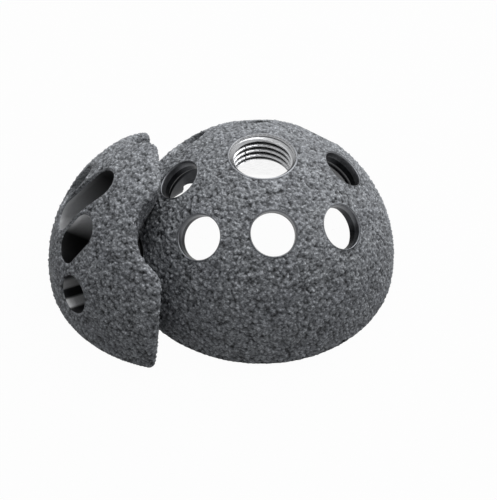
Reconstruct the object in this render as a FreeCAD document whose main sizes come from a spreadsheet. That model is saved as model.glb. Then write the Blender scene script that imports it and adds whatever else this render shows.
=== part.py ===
import FreeCAD, Part
import dataclasses
import math
import os
import Sketcher

# Acetabular cup with a crescent augment nested against its flank, in millimetres.
# Both stand rim down on the plane Z = 0, with the origin at the centre of their footprint.
# The cup's axis is parallel to Z and the augment lies towards -X.
# Polar angles are measured from the pole, swings from -X towards -Y.

OUTPUT_FOLDER = "parts"
FULL_TURN = 360.0

# Largest distance at which an edge still counts as lying on a surface.
TOUCH = 1e-3

# How far the tools that shape the augment reach, as a multiple of its radius.
TOOL_REACH = 2
TOOL_REACH_RULE = f"{TOOL_REACH} * sizes.augment_radius"

# How far the cone of a bevel runs on past the surface, as a multiple of the bevel.
FLARE_REACH = 4

# Each row holds an alias, its value in millimetres or degrees, and what it sets.
SIZES = [
    ("cup_radius", 28.0, "outer radius of the cup over its porous coat"),
    ("cup_wall", 3.6, "thickness of the cup's wall round its cavity"),
    ("seat_wall", 3.7, "thickness of the cup's wall at the liner's seat"),
    ("mouth_flare", 0.6, "extra radius of the mouth over the liner's seat"),
    ("mouth_height", 1.4, "height of the tapered lead-in at the mouth"),
    ("seat_top", 5.6, "height of the upper end of the liner's seat"),
    ("groove_height", 1.5, "height of the locking ring groove"),
    ("groove_depth", 0.6, "depth of the locking ring groove behind the seat"),
    ("rim_round", 0.5, "rounding of the cup's outer rim"),
    ("boss_wall", 6.8, "depth of the flat inside the polar boss below the dome's top"),
    ("boss_radius", 8.6, "radius of the flat inside the polar boss"),
    ("boss_flare", 0.7, "extra radius at the boss's root"),
    ("polar_bore_radius", 5.35, "minor radius of the polar thread"),
    ("polar_mouth_radius", 6.3, "radius of the lead-in over the polar thread"),
    ("polar_lead_in", 0.95, "height of the lead-in over the polar thread"),
    ("polar_inner_bevel", 0.5, "bevel at the inner end of the polar thread"),
    ("screw_hole_radius", 4.13, "radius of the cup's screw holes"),
    ("screw_seat_radius", 4.9, "radius of the screw head seat in the cavity"),
    ("screw_seat_depth", 0.8, "height of the cone under the screw head seat"),
    ("hole_edge_bevel", 0.3, "bevel round the openings' outer edges"),
    ("upper_hole_polar", 34.9, "polar angle of the upper ring of screw holes"),
    ("lower_hole_polar", 42.55, "polar angle of the lower ring of screw holes"),
    ("lower_hole_swing", 45.0, "swing between the two rings of screw holes"),
    ("ring_count", 4, "screw holes in each ring"),
    ("recess_radius", 2.1, "radius of each anti-rotation recess in the rim"),
    ("recess_height", 3.0, "height of the anti-rotation recesses"),
    ("recess_count", 6, "anti-rotation recesses round the rim"),
    ("augment_reach", 14.75, "distance that the augment stands out beyond the cup"),
    ("seat_gap", 0.3, "clearance between the augment's hollow and the cup"),
    ("arch_depth", 5.6, "distance of the arch face from the hollow's root"),
    ("arch_tilt", 7.7, "lean of the arch face towards the cup"),
    ("notch_radius", 8.3, "radius of the two notches in the arch"),
    ("notch_inset", 1.4, "distance of the notch axes from the augment's axis"),
    ("notch_rise", 58.5, "angle of each notch above the resting plane"),
    ("lip_round", 2.0, "rounding of the notches' lips"),
    ("arch_round", 1.6, "rounding of the arch's outer edge"),
    ("slot_width", 6.5, "width of the augment's slots"),
    ("slot_bridge", 0.7, "wall between the crown slot and each flank slot"),
    ("crown_slot_length", 16.4, "overall length of the slot on the mid-plane"),
    ("crown_slot_polar", 45.1, "polar angle of the slot on the mid-plane"),
    ("flank_slot_length", 10.9, "overall length of the two flank slots"),
    ("flank_slot_polar", 52.5, "polar angle of the two flank slots"),
    ("augment_hole_radius", 3.75, "radius of the augment's two screw holes"),
    ("augment_hole_polar", 72.7, "polar angle of the augment's screw holes"),
    ("augment_hole_swing", 32.2, "swing of the augment's screw holes"),
    ("augment_head_radius", 4.2, "radius of the screw head seats inside the augment"),
    ("augment_head_wall", 11.5, "depth of those seats below the augment's dome"),
    ("augment_head_depth", 0.45, "height of the cone under those seats"),
]

# Each row holds an alias, the rule that it follows from sizes above it, and what it is.
# The arch's and the head seats' distances are measured from the centre of the augment's dome.
FOLLOWING_SIZES = [
    ("cavity_radius", "cup_radius - cup_wall", "radius of the cavity behind the liner"),
    ("seat_radius", "cup_radius - seat_wall", "radius of the liner's seat"),
    ("mouth_radius", "seat_radius + mouth_flare", "radius of the cup's mouth at the rim"),
    ("boss_level", "cup_radius - boss_wall", "height of the flat inside the polar boss"),
    ("augment_radius", "cup_radius", "outer radius of the augment, whose top is level with the cup's"),
    ("augment_offset", "cup_radius + augment_reach - augment_radius", "distance between the two axes"),
    ("arch_offset", "cup_radius + seat_gap - augment_offset - arch_depth", "distance of the arch face"),
    ("augment_head_level", "augment_radius - augment_head_wall", "distance of the head seats"),
]

VALUE = {alias: value for alias, value, note in SIZES}


def follow(rule):
    """Work out a rule of added and subtracted sizes."""
    first, *others = rule.split()
    total = VALUE[first]
    for sign, alias in zip(others[::2], others[1::2]):
        total += VALUE[alias] if sign == "+" else -VALUE[alias]
    return total


for alias, rule, note in FOLLOWING_SIZES:
    VALUE[alias] = follow(rule)

# The cup's place along X that puts the footprint's centre at the origin.
CUP_PLACE = "sizes.augment_reach / 2"


def fill_sheet(doc):
    """Write the table of sizes into a spreadsheet."""
    sheet = doc.addObject("Spreadsheet::Sheet", "sizes")
    cells = [(alias, str(value), note) for alias, value, note in SIZES]
    cells += [(alias, f"={rule}", note) for alias, rule, note in FOLLOWING_SIZES]
    for row, (alias, content, note) in enumerate(cells, start=1):
        sheet.set(f"A{row}", note)
        sheet.set(f"B{row}", content)
        sheet.setAlias(f"B{row}", alias)
    doc.recompute()


def point(across, along):
    """Return a point of a sketch."""
    return FreeCAD.Vector(across, along, 0.0)


def origin_feature(body, role):
    """Return the origin plane or axis of a body that has this role."""
    matches = [feature for feature in body.Origin.OriginFeatures if feature.Role == role]
    return matches[0]


class Profile:
    """A sketch whose points are placed by named, sheet-bound constraints."""

    def __init__(self, body, name, plane, rotation=None):
        """Attach a new sketch to an origin plane, turned by a rotation expression."""
        self.sketch = body.newObject("Sketcher::SketchObject", name)
        self.sketch.AttachmentSupport = (origin_feature(body, plane), [""])
        self.sketch.MapMode = "FlatFace"
        if rotation:
            offset = f"placement(vector(0; 0; 0); {rotation})"
            self.sketch.setExpression("AttachmentOffset", offset)

    def line(self, start, end):
        """Add a straight line and return its index."""
        return self.sketch.addGeometry(Part.LineSegment(start, end), False)

    def circle(self, centre, radius):
        """Add a full circle and return its index."""
        axis = FreeCAD.Vector(0, 0, 1)
        return self.sketch.addGeometry(Part.Circle(centre, axis, radius), False)

    def arc(self, centre, start, end):
        """Add an anticlockwise arc about a centre and return its index."""
        radius = start.distanceToPoint(centre)
        first = math.atan2(start.y - centre.y, start.x - centre.x)
        last = math.atan2(end.y - centre.y, end.x - centre.x)
        whole = Part.Circle(centre, FreeCAD.Vector(0, 0, 1), radius)
        return self.sketch.addGeometry(Part.ArcOfCircle(whole, first, last), False)

    def tie(self, kind, *references):
        """Add a constraint that has no size."""
        self.sketch.addConstraint(Sketcher.Constraint(kind, *references))

    def set_size(self, name, kind, references, value, expression):
        """Add a named constraint whose size follows an expression of the sheet."""
        index = self.sketch.addConstraint(Sketcher.Constraint(kind, *references, value))
        self.sketch.renameConstraint(index, name)
        self.sketch.setExpression(f"Constraints.{name}", expression)

    def place_across(self, name, geometry, end, value, expression):
        """Set the horizontal distance of a point from the sketch's origin."""
        if value < 0:
            references = (geometry, end, -1, 1)
            self.set_size(name, "DistanceX", references, -value, expression)
        else:
            references = (-1, 1, geometry, end)
            self.set_size(name, "DistanceX", references, value, expression)

    def place_along(self, name, geometry, end, value, expression):
        """Set the vertical distance of a point from the sketch's origin."""
        if value < 0:
            references = (geometry, end, -1, 1)
            self.set_size(name, "DistanceY", references, -value, expression)
        else:
            references = (-1, 1, geometry, end)
            self.set_size(name, "DistanceY", references, value, expression)


def turn(body, name, profile, kind, axis="V_Axis"):
    """Turn a profile about an axis of its sketch, adding or cutting material."""
    feature = body.newObject(f"PartDesign::{kind}", name)
    feature.Profile = profile.sketch
    feature.ReferenceAxis = (profile.sketch, [axis])
    feature.Angle = FULL_TURN
    profile.sketch.Visibility = False
    return feature


def cut_outward(body, name, profile, length):
    """Cut a profile along its sketch's normal, which points out of the part."""
    pocket = body.newObject("PartDesign::Pocket", name)
    pocket.Profile = profile.sketch
    pocket.Type = "Length"
    pocket.Reversed = True
    pocket.setExpression("Length", length)
    profile.sketch.Visibility = False
    return pocket


def repeat_round(body, name, original, count):
    """Repeat a feature evenly round the body's vertical axis."""
    pattern = body.newObject("PartDesign::PolarPattern", name)
    pattern.Originals = [original]
    pattern.Axis = (origin_feature(body, "Z_Axis"), [""])
    pattern.Angle = FULL_TURN
    pattern.setExpression("Occurrences", count)
    body.Tip = pattern


def mirror_across(body, name, original):
    """Mirror a feature across the vertical plane through both pieces."""
    mirrored = body.newObject("PartDesign::Mirrored", name)
    mirrored.Originals = [original]
    mirrored.MirrorPlane = (origin_feature(body, "XZ_Plane"), [""])
    body.Tip = mirrored


def on_circle(radius, across):
    """Return how far along a circle about the origin reaches at this distance across."""
    return math.sqrt(radius ** 2 - across ** 2)


def cup_section(body):
    """Draw the half section of the cup's wall, from the rim round to the liner mouth."""
    centre = point(0, 0)
    groove_top = VALUE["seat_top"] + VALUE["groove_height"]
    groove_radius = VALUE["seat_radius"] + VALUE["groove_depth"]
    polar_mouth = on_circle(VALUE["cup_radius"], VALUE["polar_mouth_radius"])
    boss_root = VALUE["boss_radius"] + VALUE["boss_flare"]
    corners = {
        "rim_inner": point(VALUE["mouth_radius"], 0),
        "rim_outer": point(VALUE["cup_radius"], 0),
        "lead_top": point(VALUE["polar_mouth_radius"], polar_mouth),
        "lead_end": point(VALUE["polar_bore_radius"], polar_mouth - VALUE["polar_lead_in"]),
        "bore_end": point(VALUE["polar_bore_radius"], VALUE["boss_level"] + VALUE["polar_inner_bevel"]),
        "bore_mouth": point(VALUE["polar_bore_radius"] + VALUE["polar_inner_bevel"], VALUE["boss_level"]),
        "boss_edge": point(VALUE["boss_radius"], VALUE["boss_level"]),
        "boss_root": point(boss_root, on_circle(VALUE["cavity_radius"], boss_root)),
        "cavity_end": point(on_circle(VALUE["cavity_radius"], groove_top), groove_top),
        "groove_top": point(groove_radius, groove_top),
        "groove_foot": point(groove_radius, VALUE["seat_top"]),
        "seat_top": point(VALUE["seat_radius"], VALUE["seat_top"]),
        "seat_foot": point(VALUE["seat_radius"], VALUE["mouth_height"]),
    }
    names = list(corners)
    steps = list(zip(names, names[1:] + names[:1]))
    profile = Profile(body, "cup_section", "XZ_Plane")
    index, starts, ends = {}, {}, {}
    for name, following in steps:
        start, end = corners[name], corners[following]
        if name == "rim_outer":
            index[name] = profile.arc(centre, start, end)
        elif name == "boss_root":
            index[name] = profile.arc(centre, end, start)
        else:
            index[name] = profile.line(start, end)
        starts[name] = (index[name], 1)
        ends[name] = (index[name], 2)

    # An arc runs anticlockwise, so the one along the cavity starts at its lower corner.
    starts["boss_root"], ends["boss_root"] = ends["boss_root"], starts["boss_root"]
    for name, following in steps:
        profile.tie("Coincident", *ends[name], *starts[following])
    for name in ("rim_outer", "boss_root"):
        profile.tie("Coincident", index[name], 3, -1, 1)
    profile.tie("Horizontal", index["rim_inner"])
    profile.tie("PointOnObject", *starts["rim_outer"], -1)
    for name in ("bore_mouth", "cavity_end", "groove_foot"):
        profile.tie("Horizontal", index[name])
    for name in ("lead_end", "groove_top", "seat_top"):
        profile.tie("Vertical", index[name])

    cup_arc, cavity_arc = index["rim_outer"], index["boss_root"]
    profile.set_size("cup", "Radius", (cup_arc,), VALUE["cup_radius"], "sizes.cup_radius")
    profile.set_size("cavity", "Radius", (cavity_arc,), VALUE["cavity_radius"], "sizes.cavity_radius")
    across = {
        "rim_inner": "sizes.mouth_radius",
        "lead_top": "sizes.polar_mouth_radius",
        "lead_end": "sizes.polar_bore_radius",
        "bore_mouth": "sizes.polar_bore_radius + sizes.polar_inner_bevel",
        "boss_edge": "sizes.boss_radius",
        "boss_root": "sizes.boss_radius + sizes.boss_flare",
        "groove_top": "sizes.seat_radius + sizes.groove_depth",
        "seat_top": "sizes.seat_radius",
    }
    for name, expression in across.items():
        profile.place_across(f"{name}_across", *starts[name], corners[name].x, expression)
    polar_level = "sqrt(sizes.cup_radius ^ 2 - sizes.polar_mouth_radius ^ 2)"
    along = {
        "lead_end": f"{polar_level} - sizes.polar_lead_in",
        "bore_end": "sizes.boss_level + sizes.polar_inner_bevel",
        "bore_mouth": "sizes.boss_level",
        "cavity_end": "sizes.seat_top + sizes.groove_height",
        "seat_top": "sizes.seat_top",
        "seat_foot": "sizes.mouth_height",
    }
    for name, expression in along.items():
        profile.place_along(f"{name}_along", *starts[name], corners[name].y, expression)
    return profile


@dataclasses.dataclass
class StepHole:
    """Aliases of a screw hole that widens to a screw head seat at its inner end."""

    ball: str
    hole: str
    head: str
    head_level: str
    head_depth: str

    def levels(self):
        """Return the heights of the tool's foot, the seat's two ends, the bevel and the top."""
        seat_start = VALUE[self.head_level]
        edge = on_circle(VALUE[self.ball], VALUE[self.hole]) - VALUE["hole_edge_bevel"]
        top = edge + FLARE_REACH * VALUE["hole_edge_bevel"]
        return [seat_start - VALUE[self.head], seat_start, seat_start + VALUE[self.head_depth], edge, top]

    def level_rules(self):
        """Return the sheet's expressions of the same heights."""
        edge = f"sqrt(sizes.{self.ball} ^ 2 - sizes.{self.hole} ^ 2) - sizes.hole_edge_bevel"
        return [
            f"sizes.{self.head_level} - sizes.{self.head}",
            f"sizes.{self.head_level}",
            f"sizes.{self.head_level} + sizes.{self.head_depth}",
            edge,
            f"{edge} + {FLARE_REACH} * sizes.hole_edge_bevel",
        ]


CUP_HOLE = StepHole(
    "cup_radius", "screw_hole_radius", "screw_seat_radius", "cavity_radius", "screw_seat_depth")
AUGMENT_HOLE = StepHole(
    "augment_radius", "augment_hole_radius", "augment_head_radius", "augment_head_level",
    "augment_head_depth")


def screw_hole_tool(body, name, kind, rotation):
    """Draw the half section of a screw hole, with the sketch's upright axis as its axis."""
    foot_level, seat_start, seat_end, edge_level, top_level = kind.levels()
    foot_rule, seat_start_rule, seat_end_rule, edge_rule, top_rule = kind.level_rules()
    flare_radius = VALUE[kind.hole] + FLARE_REACH * VALUE["hole_edge_bevel"]
    corners = [
        point(0, foot_level),
        point(VALUE[kind.head], foot_level),
        point(VALUE[kind.head], seat_start),
        point(VALUE[kind.hole], seat_end),
        point(VALUE[kind.hole], edge_level),
        point(flare_radius, top_level),
        point(0, top_level),
    ]
    profile = Profile(body, name, "XZ_Plane", rotation)
    lines = [profile.line(start, end) for start, end in zip(corners, corners[1:] + corners[:1])]
    for line, following in zip(lines, lines[1:] + lines[:1]):
        profile.tie("Coincident", line, 2, following, 1)
    foot, seat_wall, seat_cone, wall, bevel, top, axis = lines
    profile.tie("PointOnObject", foot, 1, -2)
    profile.tie("Horizontal", foot)
    profile.tie("Vertical", seat_wall)
    profile.tie("Vertical", wall)
    profile.tie("Horizontal", top)
    profile.tie("Vertical", axis)
    flare_rule = f"sizes.{kind.hole} + {FLARE_REACH} * sizes.hole_edge_bevel"
    profile.place_across("seat_radius", foot, 2, VALUE[kind.head], f"sizes.{kind.head}")
    profile.place_along("foot_level", foot, 2, foot_level, foot_rule)
    profile.place_along("seat_level", seat_wall, 2, seat_start, seat_start_rule)
    profile.place_across("hole_radius", seat_cone, 2, VALUE[kind.hole], f"sizes.{kind.hole}")
    profile.place_along("seat_end", seat_cone, 2, seat_end, seat_end_rule)
    profile.place_along("edge_level", wall, 2, edge_level, edge_rule)
    profile.place_across("flare_radius", bevel, 2, flare_radius, flare_rule)
    profile.place_along("flare_level", bevel, 2, top_level, top_rule)
    return profile


def named_edges(shape, wanted):
    """Return the names of the edges that pass a test."""
    return [f"Edge{number}" for number, edge in enumerate(shape.Edges, start=1) if wanted(edge)]


def middle_of(edge):
    """Return the point halfway along an edge."""
    return edge.valueAt((edge.FirstParameter + edge.LastParameter) / 2)


def round_edges(doc, body, name, wanted, radius):
    """Round the edges of the body's latest feature that pass a test."""
    doc.recompute()
    base = body.Tip
    rounding = body.newObject("PartDesign::Fillet", name)
    rounding.Base = (base, named_edges(base.Shape, wanted))
    rounding.setExpression("Radius", radius)
    body.Tip = rounding
    doc.recompute()


def build_cup(doc):
    """Build the cup: a turned wall with a polar bore and two rings of radial screw holes."""
    body = doc.addObject("PartDesign::Body", "cup_shell")
    body.Label = "cup_shell"
    body.setExpression("Placement.Base.x", CUP_PLACE)
    turn(body, "cup_wall", cup_section(body), "Revolution")

    def is_outer_rim(edge):
        middle = middle_of(edge)
        reach = math.hypot(middle.x, middle.y)
        return abs(reach - VALUE["cup_radius"]) < TOUCH and abs(middle.z) < TOUCH

    round_edges(doc, body, "rim_rounding", is_outer_rim, "sizes.rim_round")
    rings = {
        "upper": "rotationz(-sizes.upper_hole_polar)",
        "lower": "rotationy(sizes.lower_hole_swing) * rotationz(-sizes.lower_hole_polar)",
    }
    for ring, rotation in rings.items():
        tool = screw_hole_tool(body, f"{ring}_hole_section", CUP_HOLE, rotation)
        hole = turn(body, f"{ring}_hole", tool, "Groove")
        repeat_round(body, f"{ring}_ring", hole, "sizes.ring_count")

    recess = round_outline(
        body, "recess_outline", None, VALUE["seat_radius"], "sizes.seat_radius", "recess_radius")
    first = cut_outward(body, "rim_recess", recess, "sizes.recess_height")
    repeat_round(body, "rim_recesses", first, "sizes.recess_count")
    return body


def augment_dome(body):
    """Draw the quarter disc that turns into the augment's outer dome."""
    radius = VALUE["augment_radius"]
    profile = Profile(body, "dome_section", "XZ_Plane")
    base = profile.line(point(0, 0), point(radius, 0))
    dome = profile.arc(point(0, 0), point(radius, 0), point(0, radius))
    axis = profile.line(point(0, radius), point(0, 0))
    profile.tie("Coincident", base, 1, -1, 1)
    profile.tie("Coincident", base, 2, dome, 1)
    profile.tie("Coincident", dome, 2, axis, 1)
    profile.tie("Coincident", axis, 2, base, 1)
    profile.tie("Coincident", dome, 3, -1, 1)
    profile.tie("Horizontal", base)
    profile.tie("Vertical", axis)
    profile.set_size("dome_radius", "Radius", (dome,), radius, "sizes.augment_radius")
    return profile


def cup_seat_tool(body):
    """Draw the section of the hollow that the cup lies in, about the cup's own axis."""
    offset = VALUE["augment_offset"]
    radius = VALUE["cup_radius"] + VALUE["seat_gap"]
    profile = Profile(body, "seat_section", "XZ_Plane")
    foot = profile.line(point(offset, -radius), point(offset + radius, -radius))
    wall = profile.line(point(offset + radius, -radius), point(offset + radius, 0))
    ball = profile.arc(point(offset, 0), point(offset + radius, 0), point(offset, radius))
    axis = profile.line(point(offset, radius), point(offset, -radius))
    for first, second in ((foot, wall), (wall, ball), (ball, axis), (axis, foot)):
        profile.tie("Coincident", first, 2, second, 1)
    profile.tie("Horizontal", foot)
    profile.tie("Vertical", wall)
    profile.tie("Vertical", axis)
    profile.tie("PointOnObject", ball, 1, -1)
    profile.tie("PointOnObject", ball, 3, -1)
    radius_rule = "sizes.cup_radius + sizes.seat_gap"
    profile.place_across("axis_place", axis, 1, offset, "sizes.augment_offset")
    profile.set_size("seat_radius", "Radius", (ball,), radius, radius_rule)
    profile.place_along("foot_place", foot, 1, -radius, radius_rule)
    return profile


def arch_tool(body):
    """Draw the block that is cut away beyond the augment's leaning arch face."""
    near = -VALUE["arch_offset"]
    reach = TOOL_REACH * VALUE["augment_radius"]
    profile = Profile(body, "arch_block", "XZ_Plane", "rotationz(-sizes.arch_tilt)")
    corners = [point(near, -reach), point(reach, -reach), point(reach, reach), point(near, reach)]
    lines = [profile.line(start, end) for start, end in zip(corners, corners[1:] + corners[:1])]
    for line, following in zip(lines, lines[1:] + lines[:1]):
        profile.tie("Coincident", line, 2, following, 1)
    for number, line in enumerate(lines):
        profile.tie("Vertical" if number % 2 else "Horizontal", line)
    profile.place_across("arch_place", lines[0], 1, near, "sizes.arch_offset")
    profile.place_along("block_foot", lines[0], 1, -reach, TOOL_REACH_RULE)
    profile.place_across("block_side", lines[1], 2, reach, TOOL_REACH_RULE)
    profile.place_along("block_top", lines[1], 2, reach, TOOL_REACH_RULE)
    return profile


def round_outline(body, name, rotation, centre, centre_rule, radius_alias):
    """Draw a circle whose centre lies on the sketch's horizontal axis."""
    profile = Profile(body, name, "XY_Plane", rotation)
    outline = profile.circle(point(centre, 0), VALUE[radius_alias])
    profile.tie("PointOnObject", outline, 3, -1)
    profile.place_across("centre_place", outline, 3, centre, centre_rule)
    profile.set_size("outline_radius", "Radius", (outline,), VALUE[radius_alias], f"sizes.{radius_alias}")
    return profile


def slot_outline(body, name, rotation, length_alias, shift, shift_rule):
    """Draw a slot along the meridian, shifted sideways from the mid-plane."""
    radius = VALUE["slot_width"] / 2
    straight = VALUE[length_alias] / 2 - radius
    low, high = shift - radius, shift + radius
    profile = Profile(body, name, "XY_Plane", rotation)
    upper = profile.line(point(straight, high), point(-straight, high))
    left = profile.arc(point(-straight, shift), point(-straight, high), point(-straight, low))
    lower = profile.line(point(-straight, low), point(straight, low))
    right = profile.arc(point(straight, shift), point(straight, low), point(straight, high))
    for first, second in ((upper, left), (left, lower), (lower, right), (right, upper)):
        profile.tie("Tangent", first, 2, second, 1)
    profile.tie("Horizontal", upper)
    profile.tie("Symmetric", left, 3, right, 3, -2)
    profile.set_size("end_radius", "Radius", (right,), radius, "sizes.slot_width / 2")
    centre_rule = f"sizes.{length_alias} / 2 - sizes.slot_width / 2"
    profile.place_across("end_place", right, 3, straight, centre_rule)
    if shift_rule:
        profile.place_along("shift", right, 3, shift, shift_rule)
    else:
        profile.tie("PointOnObject", right, 3, -1)
    return profile


def build_augment(doc):
    """Build the augment: a dome hollowed by the cup's ball, cut to an arch and pierced."""
    body = doc.addObject("PartDesign::Body", "augment")
    body.Label = "augment"
    body.setExpression("Placement.Base.x", f"{CUP_PLACE} - sizes.augment_offset")
    turn(body, "dome", augment_dome(body), "Revolution")
    turn(body, "cup_seat", cup_seat_tool(body), "Groove", "Edge4")

    arch_block = arch_tool(body)
    arch = body.newObject("PartDesign::Pocket", "arch_cut")
    arch.Profile = arch_block.sketch
    arch.Type = "Length"
    arch.SideType = "Symmetric"
    arch.setExpression("Length", f"2 * {TOOL_REACH_RULE}")
    arch_block.sketch.Visibility = False

    notch_outline = round_outline(
        body, "notch_outline", "rotationx(90 - sizes.notch_rise)",
        -VALUE["notch_inset"], "sizes.notch_inset", "notch_radius")
    notch = cut_outward(body, "notch", notch_outline, TOOL_REACH_RULE)
    mirror_across(body, "notches", notch)

    tilt = math.radians(-VALUE["arch_tilt"])
    arch_normal = FreeCAD.Vector(math.cos(tilt), 0, math.sin(tilt))
    rise = math.radians(VALUE["notch_rise"])
    notch_centre = FreeCAD.Vector(-VALUE["notch_inset"], 0, 0)
    notch_axis = FreeCAD.Vector(0, -math.cos(rise), math.sin(rise))

    def on_arch(spot):
        return abs(spot.dot(arch_normal) + VALUE["arch_offset"]) < TOUCH

    def on_notch(spot):
        front = FreeCAD.Vector(spot.x, -abs(spot.y), spot.z)
        reach = front.distanceToLine(notch_centre, notch_axis)
        return abs(reach - VALUE["notch_radius"]) < TOUCH

    def is_lip(edge):
        middle = middle_of(edge)
        return on_arch(middle) and on_notch(middle)

    def is_outer_arch(edge):
        middle = middle_of(edge)
        on_dome = abs(middle.Length - VALUE["augment_radius"]) < TOUCH
        return on_dome and middle.z > TOUCH

    round_edges(doc, body, "lip_rounding", is_lip, "sizes.lip_round")
    round_edges(doc, body, "arch_rounding", is_outer_arch, "sizes.arch_round")

    crown = slot_outline(
        body, "crown_outline", "rotationy(-sizes.crown_slot_polar)", "crown_slot_length", 0, None)
    cut_outward(body, "crown_slot", crown, TOOL_REACH_RULE)
    spread = VALUE["slot_width"] + VALUE["slot_bridge"]
    flank = slot_outline(
        body, "flank_outline", "rotationy(-sizes.flank_slot_polar)", "flank_slot_length",
        -spread, "sizes.slot_width + sizes.slot_bridge")
    flank_slot = cut_outward(body, "flank_slot", flank, TOOL_REACH_RULE)
    mirror_across(body, "flank_slots", flank_slot)
    hole_turn = "rotationy(sizes.augment_hole_swing) * rotationz(sizes.augment_hole_polar)"
    hole_tool = screw_hole_tool(body, "screw_hole_section", AUGMENT_HOLE, hole_turn)
    mirror_across(body, "screw_holes", turn(body, "screw_hole", hole_tool, "Groove"))
    return body


def check_document(doc):
    """Stop if any object of the document failed to compute."""
    for item in doc.Objects:
        faults = [state for state in item.State if state in ("Invalid", "Error")]
        if faults:
            raise RuntimeError(f"{item.Name} is {faults}")


def write_parts(bodies):
    """Check each body's solid and write it under its own name."""
    os.makedirs(OUTPUT_FOLDER, exist_ok=True)
    for body in bodies:
        shape = body.Shape
        if shape.isNull() or not shape.isValid() or len(shape.Solids) != 1:
            raise RuntimeError(f"{body.Label} is not one valid solid")
        shape.exportStep(os.path.join(OUTPUT_FOLDER, f"{body.Label}.step"))


def main():
    """Build both pieces, check them and write their files."""
    doc = FreeCAD.newDocument("acetabular_cup_with_augment")
    fill_sheet(doc)
    bodies = [build_cup(doc), build_augment(doc)]
    doc.recompute()
    check_document(doc)
    write_parts(bodies)


main()
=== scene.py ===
import itertools
import logging
import math
from dataclasses import dataclass
from enum import Enum

import bpy
import numpy as np
from mathutils import Matrix, Vector
from mathutils.geometry import delaunay_2d_cdt

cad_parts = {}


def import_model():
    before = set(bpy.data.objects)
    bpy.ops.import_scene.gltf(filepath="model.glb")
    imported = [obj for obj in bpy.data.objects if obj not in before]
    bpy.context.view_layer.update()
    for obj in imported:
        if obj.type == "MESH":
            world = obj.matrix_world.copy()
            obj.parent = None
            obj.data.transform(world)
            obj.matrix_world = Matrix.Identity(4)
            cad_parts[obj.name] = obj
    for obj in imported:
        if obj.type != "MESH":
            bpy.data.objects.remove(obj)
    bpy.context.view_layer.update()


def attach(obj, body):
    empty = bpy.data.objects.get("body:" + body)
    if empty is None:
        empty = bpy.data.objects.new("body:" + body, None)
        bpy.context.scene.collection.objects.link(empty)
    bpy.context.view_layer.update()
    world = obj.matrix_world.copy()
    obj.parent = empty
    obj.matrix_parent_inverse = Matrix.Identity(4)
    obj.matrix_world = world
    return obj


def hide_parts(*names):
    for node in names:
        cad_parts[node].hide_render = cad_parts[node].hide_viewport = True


LOG = logging.getLogger("cup_with_augment")

# Shapes are worked out in millimetres and handed over in metres.
MM = 0.001

# Radius of the cup's ball and of the augment's, distance between their centres, and clearance.
BALL_RADIUS = 28.0
BALL_GAP = 14.75
CLEARANCE = 0.3

# A whole turn in radians and in degrees, the turn between neighbours of an even spread, and the
# least angles at which an edge of the core and of the thread is shaded as a crisp one.
FULL_TURN = 2.0 * math.pi
FULL_DEGREES = 360.0
GOLDEN_TURN = math.pi * (3.0 - math.sqrt(5.0))
SHARP_EDGE = math.radians(28.0)
THREAD_EDGE = math.radians(40.0)

# Least height of a loose edge over the floor.
FLOOR_GAP = 0.02
# How far a cutting tool or a grid stands out past a body, and where a tool starts beside its axis.
OVERSHOOT = 1.0
AXIS_GAP = 0.001
# Stands for a distance that no point on the piece reaches.
FAR_AWAY = 50.0
# Keeps a divisor above zero, and is how near each other two points of the net may lie.
TINY = 1e-9

# Numbers that scatter the draws of neighbouring grains, and the shift that keeps cells positive.
CELL_FACTORS = (73856093, 19349663, 83492791)
SEED_FACTOR = 977
SALT_FACTOR = 2654435761
MIXES = ((33, 0xFF51AFD7ED558CCD), (29, 0xC4CEB9FE1A85EC53))
LAST_SHIFT = 32
DRAW_MASK = 0xFFFFFF
CELL_SHIFT = 64.0

Rings = list[np.ndarray]
Faces = list[tuple[int, ...]]
Colour = tuple[float, float, float]
Stops = list[tuple[float, Colour]]


class CupZone(Enum):
    """Finish of a face of the cup's core, by its material index."""

    # Near-black satin metal, painted shade on the core.
    SATIN_PAINTED_SHADE = 0
    POLISHED = 1


class AugmentZone(Enum):
    """Finish of a face of the augment's body, by its material index."""

    COAT = 0
    FOOT = 1


class WallZone(Enum):
    """Finish of a face of the augment's openings, by its material index."""

    MILLED = 0
    LIP = 1
    # A lighter copy of the coat, painted light on the far flank slot's shaded wall.
    PAINTED_LIGHT_COAT = 2
    BORE = 3


class ThreadZone(Enum):
    """Finish of a face of the polar thread, by its material index."""

    CUT = 0
    COLLAR = 1


class LipZone(Enum):
    """Finish of a face of the cup's hole lips, by its material index."""

    MACHINED = 0
    # A lighter copy of the coat, painted light on the shaded lips of the back holes.
    PAINTED_LIGHT_COAT = 1


def smooth_step(values: np.ndarray, low: float, high: float) -> np.ndarray:
    """Ease values from 0 at one level to 1 at another.

    Args:
        values: Values to ease.
        low: Level at and below which the result is 0.
        high: Level at and above which the result is 1.

    Returns:
        The eased values.
    """
    share = np.clip((values - low) / (high - low), 0.0, 1.0)
    return share * share * (3.0 - 2.0 * share)


def on_ball(radius: float, across: float) -> float:
    """Find how high a ball reaches at a distance from its axis.

    Args:
        radius: Radius of the ball.
        across: Distance from its axis.

    Returns:
        Height above its centre.
    """
    return math.sqrt(radius * radius - across * across)


def fade_in(values: np.ndarray, low: float, high: float, least: float) -> np.ndarray:
    """Ease values from a least share at one level to 1 at another.

    Args:
        values: Values to ease.
        low: Level at and below which the result is the least share.
        high: Level at and above which the result is 1.
        least: The least share.

    Returns:
        The eased values.
    """
    return least + (1.0 - least) * smooth_step(values, low, high)


def band(values: np.ndarray, start: tuple[float, float], end: tuple[float, float]) -> np.ndarray:
    """Pick out a band of values with soft edges.

    Args:
        values: Values to pick from.
        start: Levels between which the band rises from 0 to 1.
        end: Levels between which it falls back to 0.

    Returns:
        How much each value lies in the band, from 0 to 1.
    """
    return smooth_step(values, *start) * (1.0 - smooth_step(values, *end))


def grey(level: float) -> Colour:
    """Return the neutral colour of one level."""
    return (level, level, level)


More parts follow.
